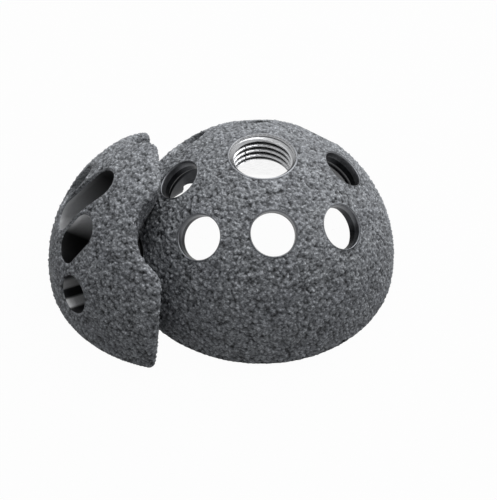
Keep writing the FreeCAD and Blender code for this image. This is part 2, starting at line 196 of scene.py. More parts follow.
def circle(count: int) -> np.ndarray:
    """Spread points evenly round the unit circle at height 0.

    Args:
        count: Number of points.

    Returns:
        The points.
    """
    turns = np.linspace(0.0, FULL_TURN, count, endpoint=False)
    return np.stack([np.cos(turns), np.sin(turns), np.zeros(count)], axis=1)


def onto_ball(spots: np.ndarray, radius: float) -> np.ndarray:
    """Move points straight out or in onto a ball about the origin.

    Args:
        spots: The points.
        radius: Radius of the ball.

    Returns:
        The moved points.
    """
    return spots * (radius / np.linalg.norm(spots, axis=1))[:, None]


def widened(ring: np.ndarray, factor: float, drop: float) -> np.ndarray:
    """Widen a ring about the upright axis and lower it.

    Args:
        ring: Points of the ring.
        factor: Factor on its radius.
        drop: How far it is lowered.

    Returns:
        Points of the new ring.
    """
    return ring * np.array([factor, factor, 1.0]) - np.array([0.0, 0.0, drop])


@dataclass
class Shape:
    """Vertices in millimetres and the faces between them."""

    spots: np.ndarray
    faces: Faces

    @staticmethod
    def empty() -> "Shape":
        """Return a shape without points, to which others are added."""
        return Shape(np.zeros((0, 3)), [])

    def add(self, other: "Shape") -> "Shape":
        """Join another shape to this one.

        Args:
            other: Shape to join.

        Returns:
            Both as one shape.
        """
        first = len(self.spots)
        moved = [tuple(corner + first for corner in face) for face in other.faces]
        return Shape(np.vstack([self.spots, other.spots]), self.faces + moved)

    def mesh(self, name: str) -> bpy.types.Mesh:
        """Turn the shape into a mesh in metres.

        Args:
            name: Name of the mesh.

        Returns:
            The smooth-shaded mesh.
        """
        mesh = bpy.data.meshes.new(name)
        mesh.from_pydata((self.spots * MM).tolist(), [], self.faces)
        mesh.validate()
        mesh.shade_smooth()
        return mesh


def strip(rings: Rings, looped: bool = False) -> Shape:
    """Skin a row of closed rings of equal length with four-sided faces.

    Args:
        rings: Rings of points, each an array of equal length.
        looped: Whether the last ring is joined to the first.

    Returns:
        The skinned shape.
    """
    count = len(rings[0])
    faces: Faces = []
    rows = len(rings) if looped else len(rings) - 1
    for row in range(rows):
        above = (row + 1) % len(rings)
        for step in range(count):
            following = (step + 1) % count
            faces.append((row * count + step, row * count + following,
                          above * count + following, above * count + step))
    return Shape(np.vstack(rings), faces)


def turned(section: list[tuple[float, float]], count: int) -> Shape:
    """Turn a closed section about the upright axis.

    Args:
        section: Radius and height of each point of the section, whose last one meets the first.
        count: Number of steps round the axis.

    Returns:
        The turned shape.
    """
    ring = circle(count)
    rings = [ring * radius + np.array([0.0, 0.0, height]) for radius, height in section]
    return strip(rings, looped=True)


def quarter_turn(radius: float, start: float, end: float, count: int) -> list[tuple[float, float]]:
    """List the points of a section's arc about the origin.

    Args:
        radius: Radius of the arc.
        start: Angle of its first point above the horizontal, in degrees.
        end: Angle of its last point, in degrees.
        count: Number of points.

    Returns:
        Radius and height of each point.
    """
    angles = np.radians(np.linspace(start, end, count))
    return [(radius * math.cos(angle), radius * math.sin(angle)) for angle in angles]


@dataclass(frozen=True)
class Grains:
    """Sintered grains of a porous coat, as heights from 0 to 1 in space."""

    size: float = 0.54
    fine_size: float = 0.36
    fine_share: float = 0.3
    fine_salt: int = 20
    sharpness: float = 8.0
    crown_reach: float = 0.72
    crown_share: float = 0.38
    level_share: float = 0.62
    farthest: float = 9.0
    rise: float = 0.82
    surface_level: float = 0.62
    seed: int = 11

    def draws(self, cells: np.ndarray, salt: int) -> np.ndarray:
        """Draw a fixed number from 0 to 1 for each cell of space.

        Args:
            cells: Whole-numbered corner of each cell.
            salt: Number that sets one draw apart from another.

        Returns:
            One number for each cell.
        """
        parts = cells.astype(np.uint64)
        start = (self.seed * SEED_FACTOR + salt) * SALT_FACTOR
        key = np.full(len(cells), start, dtype=np.uint64)
        for axis, factor in enumerate(CELL_FACTORS):
            key ^= parts[:, axis] * np.uint64(factor)
        for shift, factor in MIXES:
            key ^= key >> np.uint64(shift)
            key = key * np.uint64(factor)
        key ^= key >> np.uint64(LAST_SHIFT)
        return (key & np.uint64(DRAW_MASK)).astype(float) / float(DRAW_MASK)

    def layer(self, spots: np.ndarray, size: float, salt: int) -> np.ndarray:
        """Heap rounded grains of one size.

        Args:
            spots: Points in millimetres.
            size: Spacing of the grains.
            salt: Number that sets this layer apart from another.

        Returns:
            Height at each point, from 0 to 1.
        """
        scaled = spots / size + CELL_SHIFT
        base = np.floor(scaled).astype(np.int64)
        nearest = np.full(len(spots), self.farthest)
        total = np.zeros(len(spots))
        level = np.zeros(len(spots))
        for step in itertools.product((-1, 0, 1), repeat=3):
            cells = base + np.array(step)
            gap = np.zeros(len(spots))
            for axis in range(3):
                centre = cells[:, axis] + self.draws(cells, salt + axis)
                gap += (centre - scaled[:, axis]) ** 2
            pull = np.exp(-self.sharpness * gap)
            total += pull
            level += pull * self.draws(cells, salt + 3)
            nearest = np.minimum(nearest, gap)
        crown = np.clip(1.0 - nearest / self.crown_reach, 0.0, 1.0)
        return self.level_share * level / np.maximum(total, TINY) + self.crown_share * crown

    def heights(self, spots: np.ndarray) -> np.ndarray:
        """Find the coat's height at each point.

        Args:
            spots: Points in millimetres.

        Returns:
            Height at each point, from 0 to 1.
        """
        broad = self.layer(spots, self.size, 0)
        fine = self.layer(spots, self.fine_size, self.fine_salt)
        return (1.0 - self.fine_share) * broad + self.fine_share * fine

    def relief(self, heights: np.ndarray) -> np.ndarray:
        """Return how far grains of given heights stand over the mean surface, in millimetres."""
        return (heights - self.surface_level) * self.rise


@dataclass(frozen=True)
class Opening:
    """A round hole or a slot through a ball's wall, straight along its axis."""

    # Degrees from the pole and round it, then lengths. A round hole's length is 0.
    polar: float
    swing: float
    width: float
    length: float = 0.0
    shift: float = 0.0
    steps: int = 96

    def axes(self) -> tuple[np.ndarray, np.ndarray, np.ndarray]:
        """Find the opening's own directions.

        Returns:
            The directions along, across and out of the opening.
        """
        polar, swing = math.radians(self.polar), math.radians(self.swing)
        out = np.array([-math.sin(polar) * math.cos(swing),
                        -math.sin(polar) * math.sin(swing), math.cos(polar)])
        along = np.array([-math.cos(polar) * math.cos(swing),
                          -math.cos(polar) * math.sin(swing), -math.sin(polar)])
        across = np.array([math.sin(swing), -math.cos(swing), 0.0])
        return along, across, out

    def straight(self) -> float:
        """Return half the length of the slot's straight sides."""
        return max(self.length - self.width, 0.0) / 2.0

    def distance(self, spots: np.ndarray) -> np.ndarray:
        """Measure how far points lie outside the opening's wall.

        Args:
            spots: Points measured from the ball's centre.

        Returns:
            Distance of each point, negative inside the opening and large on the ball's other side.
        """
        along, across, out = self.axes()
        run = np.maximum(np.abs(spots @ along) - self.straight(), 0.0)
        side = spots @ across - self.shift
        gap = np.hypot(run, side) - self.width / 2.0
        return np.where(spots @ out > 0.0, gap, FAR_AWAY)

    def outline(self, offset: float) -> np.ndarray:
        """Trace the opening's edge in its own plane.

        Args:
            offset: Distance outside the wall.

        Returns:
            Distances along and across of each point of the edge.
        """
        radius = self.width / 2.0 + offset
        straight = self.straight()
        half = self.steps // 2
        turns = np.linspace(-math.pi / 2.0, math.pi / 2.0, half, endpoint=straight > 0.0)
        arc = np.stack([np.cos(turns), np.sin(turns)], axis=1) * radius
        right = arc + np.array([straight, 0.0])
        left = -arc - np.array([straight, 0.0])
        loop = np.vstack([right, left])
        return loop + np.array([0.0, self.shift])

    def ring(self, offset: float, ball: float) -> np.ndarray:
        """Lay the opening's edge on a ball about the piece's centre.

        Args:
            offset: Distance outside the wall.
            ball: Radius of the ball.

        Returns:
            Points of the ring.
        """
        plane = self.outline(offset)
        rise = np.sqrt(ball ** 2 - (plane ** 2).sum(axis=1))
        return self.lift(plane, rise)

    def lift(self, plane: np.ndarray, rise: np.ndarray) -> np.ndarray:
        """Place points of the opening's plane at given heights out of it.

        Args:
            plane: Distances along and across.
            rise: Height of each point.

        Returns:
            The points in space.
        """
        along, across, out = self.axes()
        return plane[:, :1] * along + plane[:, 1:] * across + rise[:, None] * out

    def inner_ring(self, offset: float, centre: np.ndarray, ball: float) -> np.ndarray:
        """Lay the opening's edge on a ball about another centre, on its near side.

        Args:
            offset: Distance outside the wall.
            centre: Centre of the ball.
            ball: Radius of the ball.

        Returns:
            Points of the ring.
        """
        plane = self.outline(offset)
        out = self.axes()[2]
        flat = self.lift(plane, np.zeros(len(plane))) - centre
        reach = flat @ out
        rise = -reach + np.sqrt(reach ** 2 - (flat ** 2).sum(axis=1) + ball ** 2)
        return self.lift(plane, rise)


# Offset outside the wall and drop below the surface of each ring of a machined lip.
LIP = ((-0.01, 1.4), (-0.01, 0.34), (0.03, 0.2), (0.09, 0.1), (0.17, 0.06), (0.25, 0.1), (0.4, 0.5))

# Values between which noise mostly lies.
NOISE_LOW = 0.3
NOISE_HIGH = 0.7
# Stops of the coat's speckle, pores and drift and of the metals' streaks: place, then factor.
# The pores' stops lighten the grains' middles and darken the gaps between them as painted shade.
SPECKLE_STOPS = [(0.32, grey(0.2)), (0.5, grey(1.0)), (0.72, grey(1.5))]
PORE_SHADE_STOPS = [(0.1, grey(1.2)), (0.6, grey(0.42))]
DRIFT_STOPS = [(NOISE_LOW, (0.9, 0.9, 0.91)), (NOISE_HIGH, (1.08, 1.08, 1.07))]
METAL_STREAKS = [(NOISE_LOW, grey(0.84)), (NOISE_HIGH, grey(1.12))]
WALL_STREAKS = [(NOISE_LOW, grey(0.8)), (NOISE_HIGH, grey(1.1))]

# Size in millimetres, detail, roughness and stretch of the lines that a tool leaves in metal.
LINE_SIZE = 1.1
LINE_DETAIL = 4.0
LINE_ROUGHNESS = 0.65
LINE_STRETCH = (1.0, 1.0, 14.0)

# Places of the colour sockets on the mixing node.
MIX_FIRST = 6
MIX_SECOND = 7
MIX_RESULT = 2


class NodeBoard:
    """A material's nodes, added and linked in a row."""

    def __init__(self, name: str) -> None:
        """Start an empty material.

        Args:
            name: Name of the material.
        """
        self.material = bpy.data.materials.new(name)
        self.material.use_nodes = True
        self.tree = self.material.node_tree
        self.tree.nodes.clear()
        self.output = self.tree.nodes.new("ShaderNodeOutputMaterial")
        self.place = self.tree.nodes.new("ShaderNodeTexCoord").outputs["Object"]

    def add(self, kind: str, **settings: object) -> bpy.types.Node:
        """Add a node.

        Args:
            kind: The node's type.
            settings: Properties set on it.

        Returns:
            The node.
        """
        node = self.tree.nodes.new(kind)
        for name, value in settings.items():
            setattr(node, name, value)
        return node

    def link(self, source: bpy.types.NodeSocket, target: bpy.types.NodeSocket) -> None:
        """Join an output to an input."""
        self.tree.links.new(source, target)

    def noise(self, size: float, detail: float, roughness: float,
              stretch: tuple[float, float, float] = (1.0, 1.0, 1.0)) -> bpy.types.NodeSocket:
        """Add cloudy noise in the piece's own space.

        Args:
            size: Size of its blotches in millimetres.
            detail: Number of finer layers.
            roughness: Strength of the finer layers.
            stretch: Factor on each axis, larger for closer detail.

        Returns:
            Its value output.
        """
        mapping = self.add("ShaderNodeMapping")
        mapping.inputs["Scale"].default_value = stretch
        self.link(self.place, mapping.inputs["Vector"])
        node = self.add("ShaderNodeTexNoise")
        node.inputs["Scale"].default_value = 1.0 / (size * MM)
        node.inputs["Detail"].default_value = detail
        node.inputs["Roughness"].default_value = roughness
        self.link(mapping.outputs["Vector"], node.inputs["Vector"])
        return node.outputs["Fac"]

    def tool_lines(self) -> bpy.types.NodeSocket:
        """Add the fine level lines that a tool leaves in metal."""
        return self.noise(LINE_SIZE, LINE_DETAIL, LINE_ROUGHNESS, LINE_STRETCH)

    def values(self, name: str) -> bpy.types.NodeSocket:
        """Read a value that the mesh keeps with each vertex."""
        return self.add("ShaderNodeAttribute", attribute_name=name).outputs["Fac"]

    def cells(self, size: float, softness: float) -> bpy.types.NodeSocket:
        """Add rounded cells in the piece's own space.

        Args:
            size: Size of a cell in millimetres.
            softness: How softly the cells run into each other.

        Returns:
            Its distance output.
        """
        node = self.add("ShaderNodeTexVoronoi", feature="SMOOTH_F1")
        node.inputs["Scale"].default_value = 1.0 / (size * MM)
        node.inputs["Smoothness"].default_value = softness
        self.link(self.place, node.inputs["Vector"])
        return node.outputs["Distance"]

    def ramp(self, source: bpy.types.NodeSocket, stops: Stops) -> bpy.types.NodeSocket:
        """Map a value to colours.

        Args:
            source: Value to map.
            stops: Place and colour of each stop.

        Returns:
            The colour output.
        """
        node = self.add("ShaderNodeValToRGB")
        stop_list = node.color_ramp.elements
        while len(stop_list) < len(stops):
            stop_list.new(0.5)
        for stop, (place, colour) in zip(stop_list, stops):
            stop.position = place
            stop.color = (*colour, 1.0)
        self.link(source, node.inputs["Fac"])
        return node.outputs["Color"]

    def multiply(self, first: bpy.types.NodeSocket, second: bpy.types.NodeSocket,
                 share: float = 1.0) -> bpy.types.NodeSocket:
        """Multiply two colours.

        Args:
            first: Lower colour.
            second: Upper colour.
            share: How much of the upper colour counts.

        Returns:
            The colour output.
        """
        node = self.add("ShaderNodeMix", data_type="RGBA", blend_type="MULTIPLY")
        node.inputs["Factor"].default_value = share
        self.link(first, node.inputs[MIX_FIRST])
        self.link(second, node.inputs[MIX_SECOND])
        return node.outputs[MIX_RESULT]

    def tooled_metal(self, colour: bpy.types.NodeSocket, lines: bpy.types.NodeSocket, metallic: float,
                     rough: tuple[float, float], marks: float) -> bpy.types.Material:
        """Finish the material as metal that shows the lines of its tool.

        Args:
            colour: Base colour.
            lines: The tool's lines.
            metallic: How metallic the surface is.
            rough: Least and greatest roughness.
            marks: Height of the lines in millimetres.

        Returns:
            The material.
        """
        shader = self.metal(metallic)
        self.link(colour, shader.inputs["Base Color"])
        self.link(self.spread(lines, *rough), shader.inputs["Roughness"])
        self.link(self.bump(lines, marks, strength=0.5), shader.inputs["Normal"])
        return self.material

    def spread(self, source: bpy.types.NodeSocket, low: float, high: float,
               start: float = NOISE_LOW, end: float = NOISE_HIGH) -> bpy.types.NodeSocket:
        """Map a value from one range to another.

        Args:
            source: Value to map.
            low: Result at the start.
            high: Result at the end.
            start: Value that gives the low result.
            end: Value that gives the high result.

        Returns:
            The result output.
        """
        node = self.add("ShaderNodeMapRange")
        for name, value in (("From Min", start), ("From Max", end), ("To Min", low), ("To Max", high)):
            node.inputs[name].default_value = value
        self.link(source, node.inputs["Value"])
        return node.outputs["Result"]

    def bump(self, source: bpy.types.NodeSocket, height: float, strength: float,
             under: bpy.types.NodeSocket | None = None) -> bpy.types.NodeSocket:
        """Raise a value as relief.

        Args:
            source: Height from 0 to 1.
            height: Full height in millimetres.
            strength: Strength of the relief.
            under: Normal of the relief beneath.

        Returns:
            The normal output.
        """
        node = self.add("ShaderNodeBump")
        node.inputs["Distance"].default_value = height * MM
        node.inputs["Strength"].default_value = strength
        self.link(source, node.inputs["Height"])
        if under is not None:
            self.link(under, node.inputs["Normal"])
        return node.outputs["Normal"]

    def metal(self, metallic: float) -> bpy.types.Node:
        """Add the main shader and join it to the output.

        Args:
            metallic: How metallic the surface is.

        Returns:
            The shader node.
        """
        shader = self.add("ShaderNodeBsdfPrincipled")
        shader.inputs["Metallic"].default_value = metallic
        self.link(shader.outputs["BSDF"], self.output.inputs["Surface"])
        return shader


@dataclass(frozen=True)
class PorousCoat:
    """Dark grey sintered coat with painted shade in the pits between its grains and a painted highlight on
    their crests.
    """

    name: str
    # Colours by the height of the grains, and the heights that show them: painted shade in the pits, the
    # coat's own grey, and a painted highlight on the crests.
    pit_shade: Colour = (0.012, 0.013, 0.015)
    body: Colour = (0.200, 0.209, 0.224)
    crest_light: Colour = (0.370, 0.385, 0.409)
    pit_level: float = 0.26
    body_level: float = 0.49
    crest_level: float = 0.8
    # Shine of the surface.
    metallic: float = 0.12
    gloss: float = 0.3
    smoothest: float = 0.58
    roughest: float = 0.8
    # Sizes and reliefs of grit, pores and clouds, in millimetres.
    grit_size: float = 0.36
    grit_relief: float = 0.05
    pore_size: float = 0.42
    pore_softness: float = 0.35
    pore_relief: float = 0.10
    pore_width: float = 0.8
    cloud_size: float = 7.0
    ripple: tuple[float, float, float] = (0.8, 0.8, 1.5)
    # How strongly speckles and pores darken the surface, the pores as painted shade, and how strongly its
    # reliefs bend light.
    speckle_share: float = 0.8
    pore_share: float = 0.7
    coarse_strength: float = 0.6
    fine_strength: float = 0.5

    def material(self) -> bpy.types.Material:
        """Build the coat's material.

        Returns:
            The material.
        """
        board = NodeBoard(self.name)
        grit = board.noise(self.grit_size, detail=2.0, roughness=0.6, stretch=self.ripple)
        cells = board.cells(self.pore_size, self.pore_softness)
        clouds = board.noise(self.cloud_size, detail=2.0, roughness=0.5)
        stops = [(self.pit_level, self.pit_shade), (self.body_level, self.body), (self.crest_level, self.crest_light)]
        # Painted light: by the grains' height, the ramp darkens the pits with painted shade and lightens
        # the crests with a painted highlight.
        colour = board.ramp(board.values("relief"), stops)
        colour = board.multiply(colour, board.ramp(grit, SPECKLE_STOPS), self.speckle_share)
        colour = board.multiply(colour, board.ramp(cells, PORE_SHADE_STOPS), self.pore_share)
        colour = board.multiply(colour, board.ramp(clouds, DRIFT_STOPS))
        shader = board.metal(self.metallic)
        board.link(colour, shader.inputs["Base Color"])
        shader.inputs["Specular IOR Level"].default_value = self.gloss
        board.link(board.spread(grit, self.smoothest, self.roughest), shader.inputs["Roughness"])
        grains = board.spread(cells, 1.0, 0.0, start=0.0, end=self.pore_width)
        coarse = board.bump(grains, self.pore_relief, self.coarse_strength)
        fine = board.bump(grit, self.grit_relief, self.fine_strength, coarse)
        board.link(fine, shader.inputs["Normal"])
        return board.material


@dataclass(frozen=True)
class MachinedMetal:
    """Turned or milled metal with fine marks and soft stains."""

    name: str
    dark: Colour
    light: Colour
    smoothest: float
    roughest: float
    marks: float = 0.004
    stain_size: float = 2.4
    streak_share: float = 0.6

    def material(self) -> bpy.types.Material:
        """Build the metal's material.

        Returns:
            The material.
        """
        board = NodeBoard(self.name)
        stains = board.noise(self.stain_size, detail=3.0, roughness=0.6)
        lines = board.tool_lines()
        colour = board.ramp(stains, [(NOISE_LOW, self.dark), (NOISE_HIGH, self.light)])
        colour = board.multiply(colour, board.ramp(lines, METAL_STREAKS), self.streak_share)
        return board.tooled_metal(colour, lines, 1.0, (self.smoothest, self.roughest), self.marks)


@dataclass(frozen=True)
class PaintedLightWall:
    """Milled wall of an opening whose colour carries painted light: painted shade in its depth and a
    painted highlight where a vertex's stored value is high.
    """

    name: str
    # Colour of the painted shade and of the painted highlight.
    painted_shade: Colour = (0.007, 0.007, 0.0075)
    painted_highlight: Colour = (0.86, 0.87, 0.89)
    metallic: float = 0.9
    smoothest: float = 0.22
    roughest: float = 0.34
    marks: float = 0.003
    streak_share: float = 0.7

    def material(self) -> bpy.types.Material:
        """Build the wall's material.

        Returns:
            The material.
        """
        board = NodeBoard(self.name)
        lines = board.tool_lines()
        # Painted light: each vertex's stored value blends from the painted shade colour to the painted
        # highlight colour.
        colour = board.ramp(board.values("painted_light"), [(0.0, self.painted_shade), (1.0, self.painted_highlight)])
        colour = board.multiply(colour, board.ramp(lines, WALL_STREAKS), self.streak_share)
        rough = (self.smoothest, self.roughest)
        return board.tooled_metal(colour, lines, self.metallic, rough, self.marks)


HOLE_LIP = MachinedMetal("hole_lip", (0.10, 0.104, 0.112), (0.17, 0.175, 0.186), 0.34, 0.46)
FOOT_METAL = MachinedMetal("foot_metal", (0.20, 0.205, 0.215), (0.30, 0.305, 0.315), 0.3, 0.45)
LINER_SEAT = MachinedMetal("liner_seat", (0.93, 0.93, 0.93), (0.98, 0.98, 0.98), 0.03, 0.07, 0.001)
# Walls of the augment's slots and screw holes take painted shade and painted highlights through their
# stored values.
SLOT_WALL = PaintedLightWall("slot_wall", metallic=0.75, smoothest=0.42, roughest=0.56)
BORE_WALL = PaintedLightWall("bore_wall", (0.02, 0.02, 0.022), (0.97, 0.97, 0.98), 0.1, 0.26, 0.36)
# Lighter copy of the coat, painted light on the lips of the back holes, which lie in shade.
LIT_RIM_COAT = PorousCoat("rim_coat_painted_light", (0.07, 0.073, 0.078), (0.32, 0.333, 0.353), (0.5, 0.52, 0.55))
# Lighter copy of the coat, painted light on the far flank slot's wall, which lies in shade.
LIT_SLOT_COAT = PorousCoat("slot_coat_painted_light", (0.1, 0.104, 0.11), (0.4, 0.415, 0.435), (0.6, 0.62, 0.65))
# Near-black metal: painted shade on the cup core's cavity, rim and hole walls.
SHADED_CORE_METAL = MachinedMetal("core_metal_painted_shade", (0.018, 0.019, 0.021), (0.04, 0.042, 0.046), 0.3, 0.44)


def show(mesh: bpy.types.Mesh, name: str, node: str,
         finishes: list[bpy.types.Material], centre: float) -> bpy.types.Object:
    """Add a piece that stands for a solid of the frame.

    Args:
        mesh: The piece's mesh, measured from its own centre.
        name: Name of the piece.
        node: Solid that it stands for.
        finishes: Its materials, by material index.
        centre: Place of the piece's axis along X, in millimetres.

    Returns:
        The piece.
    """
    mesh.transform(Matrix.Translation((centre * MM, 0.0, 0.0)))
    piece = bpy.data.objects.new(name, mesh)
    bpy.context.scene.collection.objects.link(piece)
    for finish in finishes:
        mesh.materials.append(finish)
    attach(piece, "root")
    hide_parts(node)
    LOG.info("%s: %d faces", name, len(mesh.polygons))
    return piece


def store_values(mesh: bpy.types.Mesh, name: str, values: np.ndarray) -> None:
    """Keep a value with each vertex of a mesh, for its material to read.

    Args:
        mesh: The mesh.
        name: Name under which the material reads the values.
        values: Value of each vertex, from 0 to 1.
    """
    attribute = mesh.attributes.new(name, "FLOAT", "POINT")
    attribute.data.foreach_set("value", values.astype(np.float32))


def set_zones(mesh: bpy.types.Mesh, zones: list[Enum]) -> None:
    """Give each face of a mesh its finish.

    Args:
        mesh: The mesh.
        zones: Finish of each face.
    """
    mesh.polygons.foreach_set("material_index", [zone.value for zone in zones])


def difference(body: Shape, tools: Shape, name: str) -> bpy.types.Mesh:
    """Cut closed tools out of a closed body.

    Args:
        body: Body to cut.
        tools: Tools that don't touch each other.
        name: Name of the resulting mesh.

    Returns:
        The cut mesh.
    """
    target = bpy.data.objects.new(f"{name}_blank", body.mesh(f"{name}_blank"))
    cutter = bpy.data.objects.new(f"{name}_tools", tools.mesh(f"{name}_tools"))
    for item in (target, cutter):
        bpy.context.scene.collection.objects.link(item)
    cut = target.modifiers.new("cut", "BOOLEAN")
    cut.operation = "DIFFERENCE"
    cut.solver = "EXACT"
    cut.object = cutter
    graph = bpy.context.evaluated_depsgraph_get()
    mesh = bpy.data.meshes.new_from_object(target.evaluated_get(graph))
    mesh.name = name
    for item in (target, cutter):
        data = item.data
        bpy.data.objects.remove(item)
        bpy.data.meshes.remove(data)
    mesh.shade_smooth()
    mesh.set_sharp_from_angle(angle=SHARP_EDGE)
    return mesh


# Area of a cell of the coat's even net, as a share of the square of its gap.
CELL_AREA = 0.866
# Least height over the coat's foot, and greatest reach into a rim, of the middle of a kept face.
FOOT_SLACK = 1e-4
RIM_SLACK = 0.002
# Factors that turn the coat's foot inward, and drops that turn its other edges into the core.
FOOT_SKIRT = ((1.0, 1.0, 0.4), (0.994, 0.994, 0.1), (0.975, 0.975, 0.1))
RIM_SKIRT = (0.2, 0.75)
# Widening factor and drop of the rings that join the thread to the boss and to the coat.
FLANGE = (1.09, 0.02)
COLLAR = ((1.012, -0.02), (1.035, 0.03), (1.07, 0.25), (1.1, 0.8))
# Points at the edges of the thread's seam, as shares of half its width.
SEAM_EDGES = (-1.02, -0.98, 0.98, 1.02)


@dataclass
class CupShell:
    """Hemispherical cup with a porous coat, screw holes and a threaded pole."""

    centre: float = BALL_GAP / 2.0
    radius: float = BALL_RADIUS
    turns: int = 288
    # The core's dome and its chamfered rim.
    core_radius: float = 27.4
    dome_steps: int = 32
    dome_start: float = 1.0
    dome_margin: float = 0.5
    rim_chamfer: float = 0.1
    # The coat: its edges, how its relief fades towards them, and its net of points.
    coat_gap: float = 0.27
    coat_foot: float = 0.45
    foot_fade: float = 0.6
    foot_relief: float = 0.15
    rim_fade: float = 0.55
    rim_overlap: float = 0.05
    rim_relief: float = 0.12
    vertex_gap: float = 0.23
    unevenness: float = 0.13
    spread_seed: int = 5
    # The cavity with its mouth, liner's seat, polished lands and groove.
    cavity_radius: float = 24.4
    cavity_steps: int = 44
    mouth_radius: float = 24.9
    mouth_height: float = 1.4
    mouth_margin: float = 0.02
    seat_radius: float = 24.3
    seat_top: float = 5.6
    seat_chamfer: float = 0.15
    seat_margin: float = 0.1
    land_count: int = 3
    land_start: float = 90.0
    land_half_turn: float = 24.0
    groove_height: float = 1.5
    groove_depth: float = 0.6
    # The boss round the polar hole.
    boss_level: float = 21.2
    boss_radius: float = 8.6
    boss_flare: float = 0.7
    # The screw holes with their head seats, on two rings.
    hole_radius: float = 4.13
    hole_steps: int = 96
    head_radius: float = 4.9
    head_depth: float = 0.8
    head_reach: float = 2.9
    upper_polar: float = 34.9
    lower_polar: float = 42.55
    ring_count: int = 4
    back_share: float = 0.1
    # The recesses in the rim.
    recess_radius: float = 2.1
    recess_height: float = 3.0
    recess_count: int = 6
    recess_steps: int = 48
    # The polar thread, its lead-in, its bevel and its dark seam.
    minor_radius: float = 5.35
    major_radius: float = 6.0
    thread_cover: float = 0.1
    thread_start: float = 0.29
    thread_turns: int = 240
    thread_levels: int = 150
    pitch: float = 1.25
    crest_flat: float = 0.11
    flank_share: float = 0.28
    runout_start: float = 0.1
    runout_end: float = 0.8
    lead_radius: float = 6.3
    lead_height: float = 0.95
    lead_drop: float = 0.2
    lead_steps: int = 160
    lead_edge: tuple[float, float] = (0.25, 0.12)
    inner_bevel: float = 0.5
    seam_turn: float = 118.0
    seam_width: float = 2.2
    seam_rise: float = 0.12
    seam_gap: float = 0.2
    # Painted light on the thread: painted shade in its grooves, painted highlights on its crests and its
    # lead-in.
    groove_shade: float = 0.04
    crest_highlight: float = 0.6
    lead_highlight: float = 0.36
    lead_highlight_fade: tuple[float, float] = (-0.05, 0.1)

    def holes(self) -> list[Opening]:
        """Place the two rings of screw holes.

        Returns:
            The upper ring's holes, then the lower ring's, half a step further round.
        """
        step = FULL_DEGREES / self.ring_count
        rings = ((self.upper_polar, 0.0), (self.lower_polar, 0.5))
        return [Opening(polar, step * (k + shift), 2.0 * self.hole_radius)
                for polar, shift in rings for k in range(self.ring_count)]

    def lead_level(self) -> float:
        """Return the height of the thread's lead-in."""
        return on_ball(self.radius, self.lead_radius)

    def core_section(self) -> list[tuple[float, float]]:
        """List the wall's section from the mouth round to the liner's seat.

        Returns:
            Radius and height of each point.
        """
        bore = self.major_radius + self.thread_cover
        flare_radius = self.boss_radius + self.boss_flare
        groove_top = self.seat_top + self.groove_height
        groove_radius = self.seat_radius + self.groove_depth
        lead_level = self.lead_level()
        edge_width, edge_drop = self.lead_edge
        dome_end = math.degrees(math.acos((self.lead_radius + self.dome_margin) / self.core_radius))
        cavity_start = math.degrees(math.acos(flare_radius / self.cavity_radius))
        cavity_end = math.degrees(math.asin(groove_top / self.cavity_radius))
        section = [(self.mouth_radius, 0.0), (self.core_radius - self.rim_chamfer, 0.0)]
        section += [(self.core_radius, self.rim_chamfer)]
        section += quarter_turn(self.core_radius, self.dome_start, dome_end, self.dome_steps)
        section += [(self.lead_radius + edge_width, lead_level - edge_drop), (self.lead_radius, lead_level)]
        section += [(bore, lead_level - self.lead_drop), (bore, self.boss_level)]
        section += [(self.boss_radius, self.boss_level)]
        section += quarter_turn(self.cavity_radius, cavity_start, cavity_end, self.cavity_steps)
        section += [(groove_radius, groove_top), (groove_radius, self.seat_top)]
        section += [(self.seat_radius + self.seat_chamfer, self.seat_top)]
        section += [(self.seat_radius, self.seat_top - self.seat_chamfer)]
        section += [(self.seat_radius, self.mouth_height)]
        return section

    def tools(self) -> Shape:
        """Shape what is cut out of the core for the screws and the recesses.

        Returns:
            The tools, closed and clear of each other.
        """
        head_level = self.cavity_radius - self.head_reach
        top = self.radius + OVERSHOOT
        section = [(AXIS_GAP, head_level), (self.head_radius, head_level),
                   (self.head_radius, self.cavity_radius),
                   (self.hole_radius, self.cavity_radius + self.head_depth),
                   (self.hole_radius, top), (AXIS_GAP, top)]
        pin = turned(section, self.hole_steps)
        result = Shape.empty()
        for hole in self.holes():
            along, across, out = hole.axes()
            result = result.add(Shape(pin.spots @ np.stack([across, -along, out]), pin.faces))
        section = [(AXIS_GAP, -OVERSHOOT), (self.recess_radius, -OVERSHOOT),
                   (self.recess_radius, self.recess_height), (AXIS_GAP, self.recess_height)]
        recess = turned(section, self.recess_steps)
        for k in range(self.recess_count):
            turn = FULL_TURN * k / self.recess_count
            shift = np.array([math.cos(turn), math.sin(turn), 0.0]) * self.seat_radius
            result = result.add(Shape(recess.spots + shift, recess.faces))
        return result

    def is_polished(self, spot: Vector) -> bool:
        """Tell whether a point of the core lies on a polished land of the liner's seat.

        Args:
            spot: The point, in millimetres.

        Returns:
            True on a land.
        """
        reach = math.hypot(spot.x, spot.y)
        if spot.z >= self.seat_top - self.seat_margin:
            return False
        if not self.seat_radius - self.seat_margin < reach < self.mouth_radius - self.mouth_margin:
            return False
        land = FULL_DEGREES / self.land_count
        turn = math.degrees(math.atan2(spot.y, spot.x)) - self.land_start
        return abs((turn + land / 2.0) % land - land / 2.0) < self.land_half_turn

    def build_core(self) -> bpy.types.Object:
        """Build the machined wall with its holes, seat, groove and recesses.

        Returns:
            The piece.
        """
        blank = turned(self.core_section(), self.turns)
        mesh = difference(blank, self.tools(), "cup_core")
        set_zones(mesh, [CupZone.POLISHED if self.is_polished(face.center / MM) else CupZone.SATIN_PAINTED_SHADE
                         for face in mesh.polygons])
        # The core's satin faces take the near-black metal as painted shade.
        finishes = [SHADED_CORE_METAL.material(), LINER_SEAT.material()]
        return show(mesh, "cup_core", "cup_shell", finishes, self.centre)

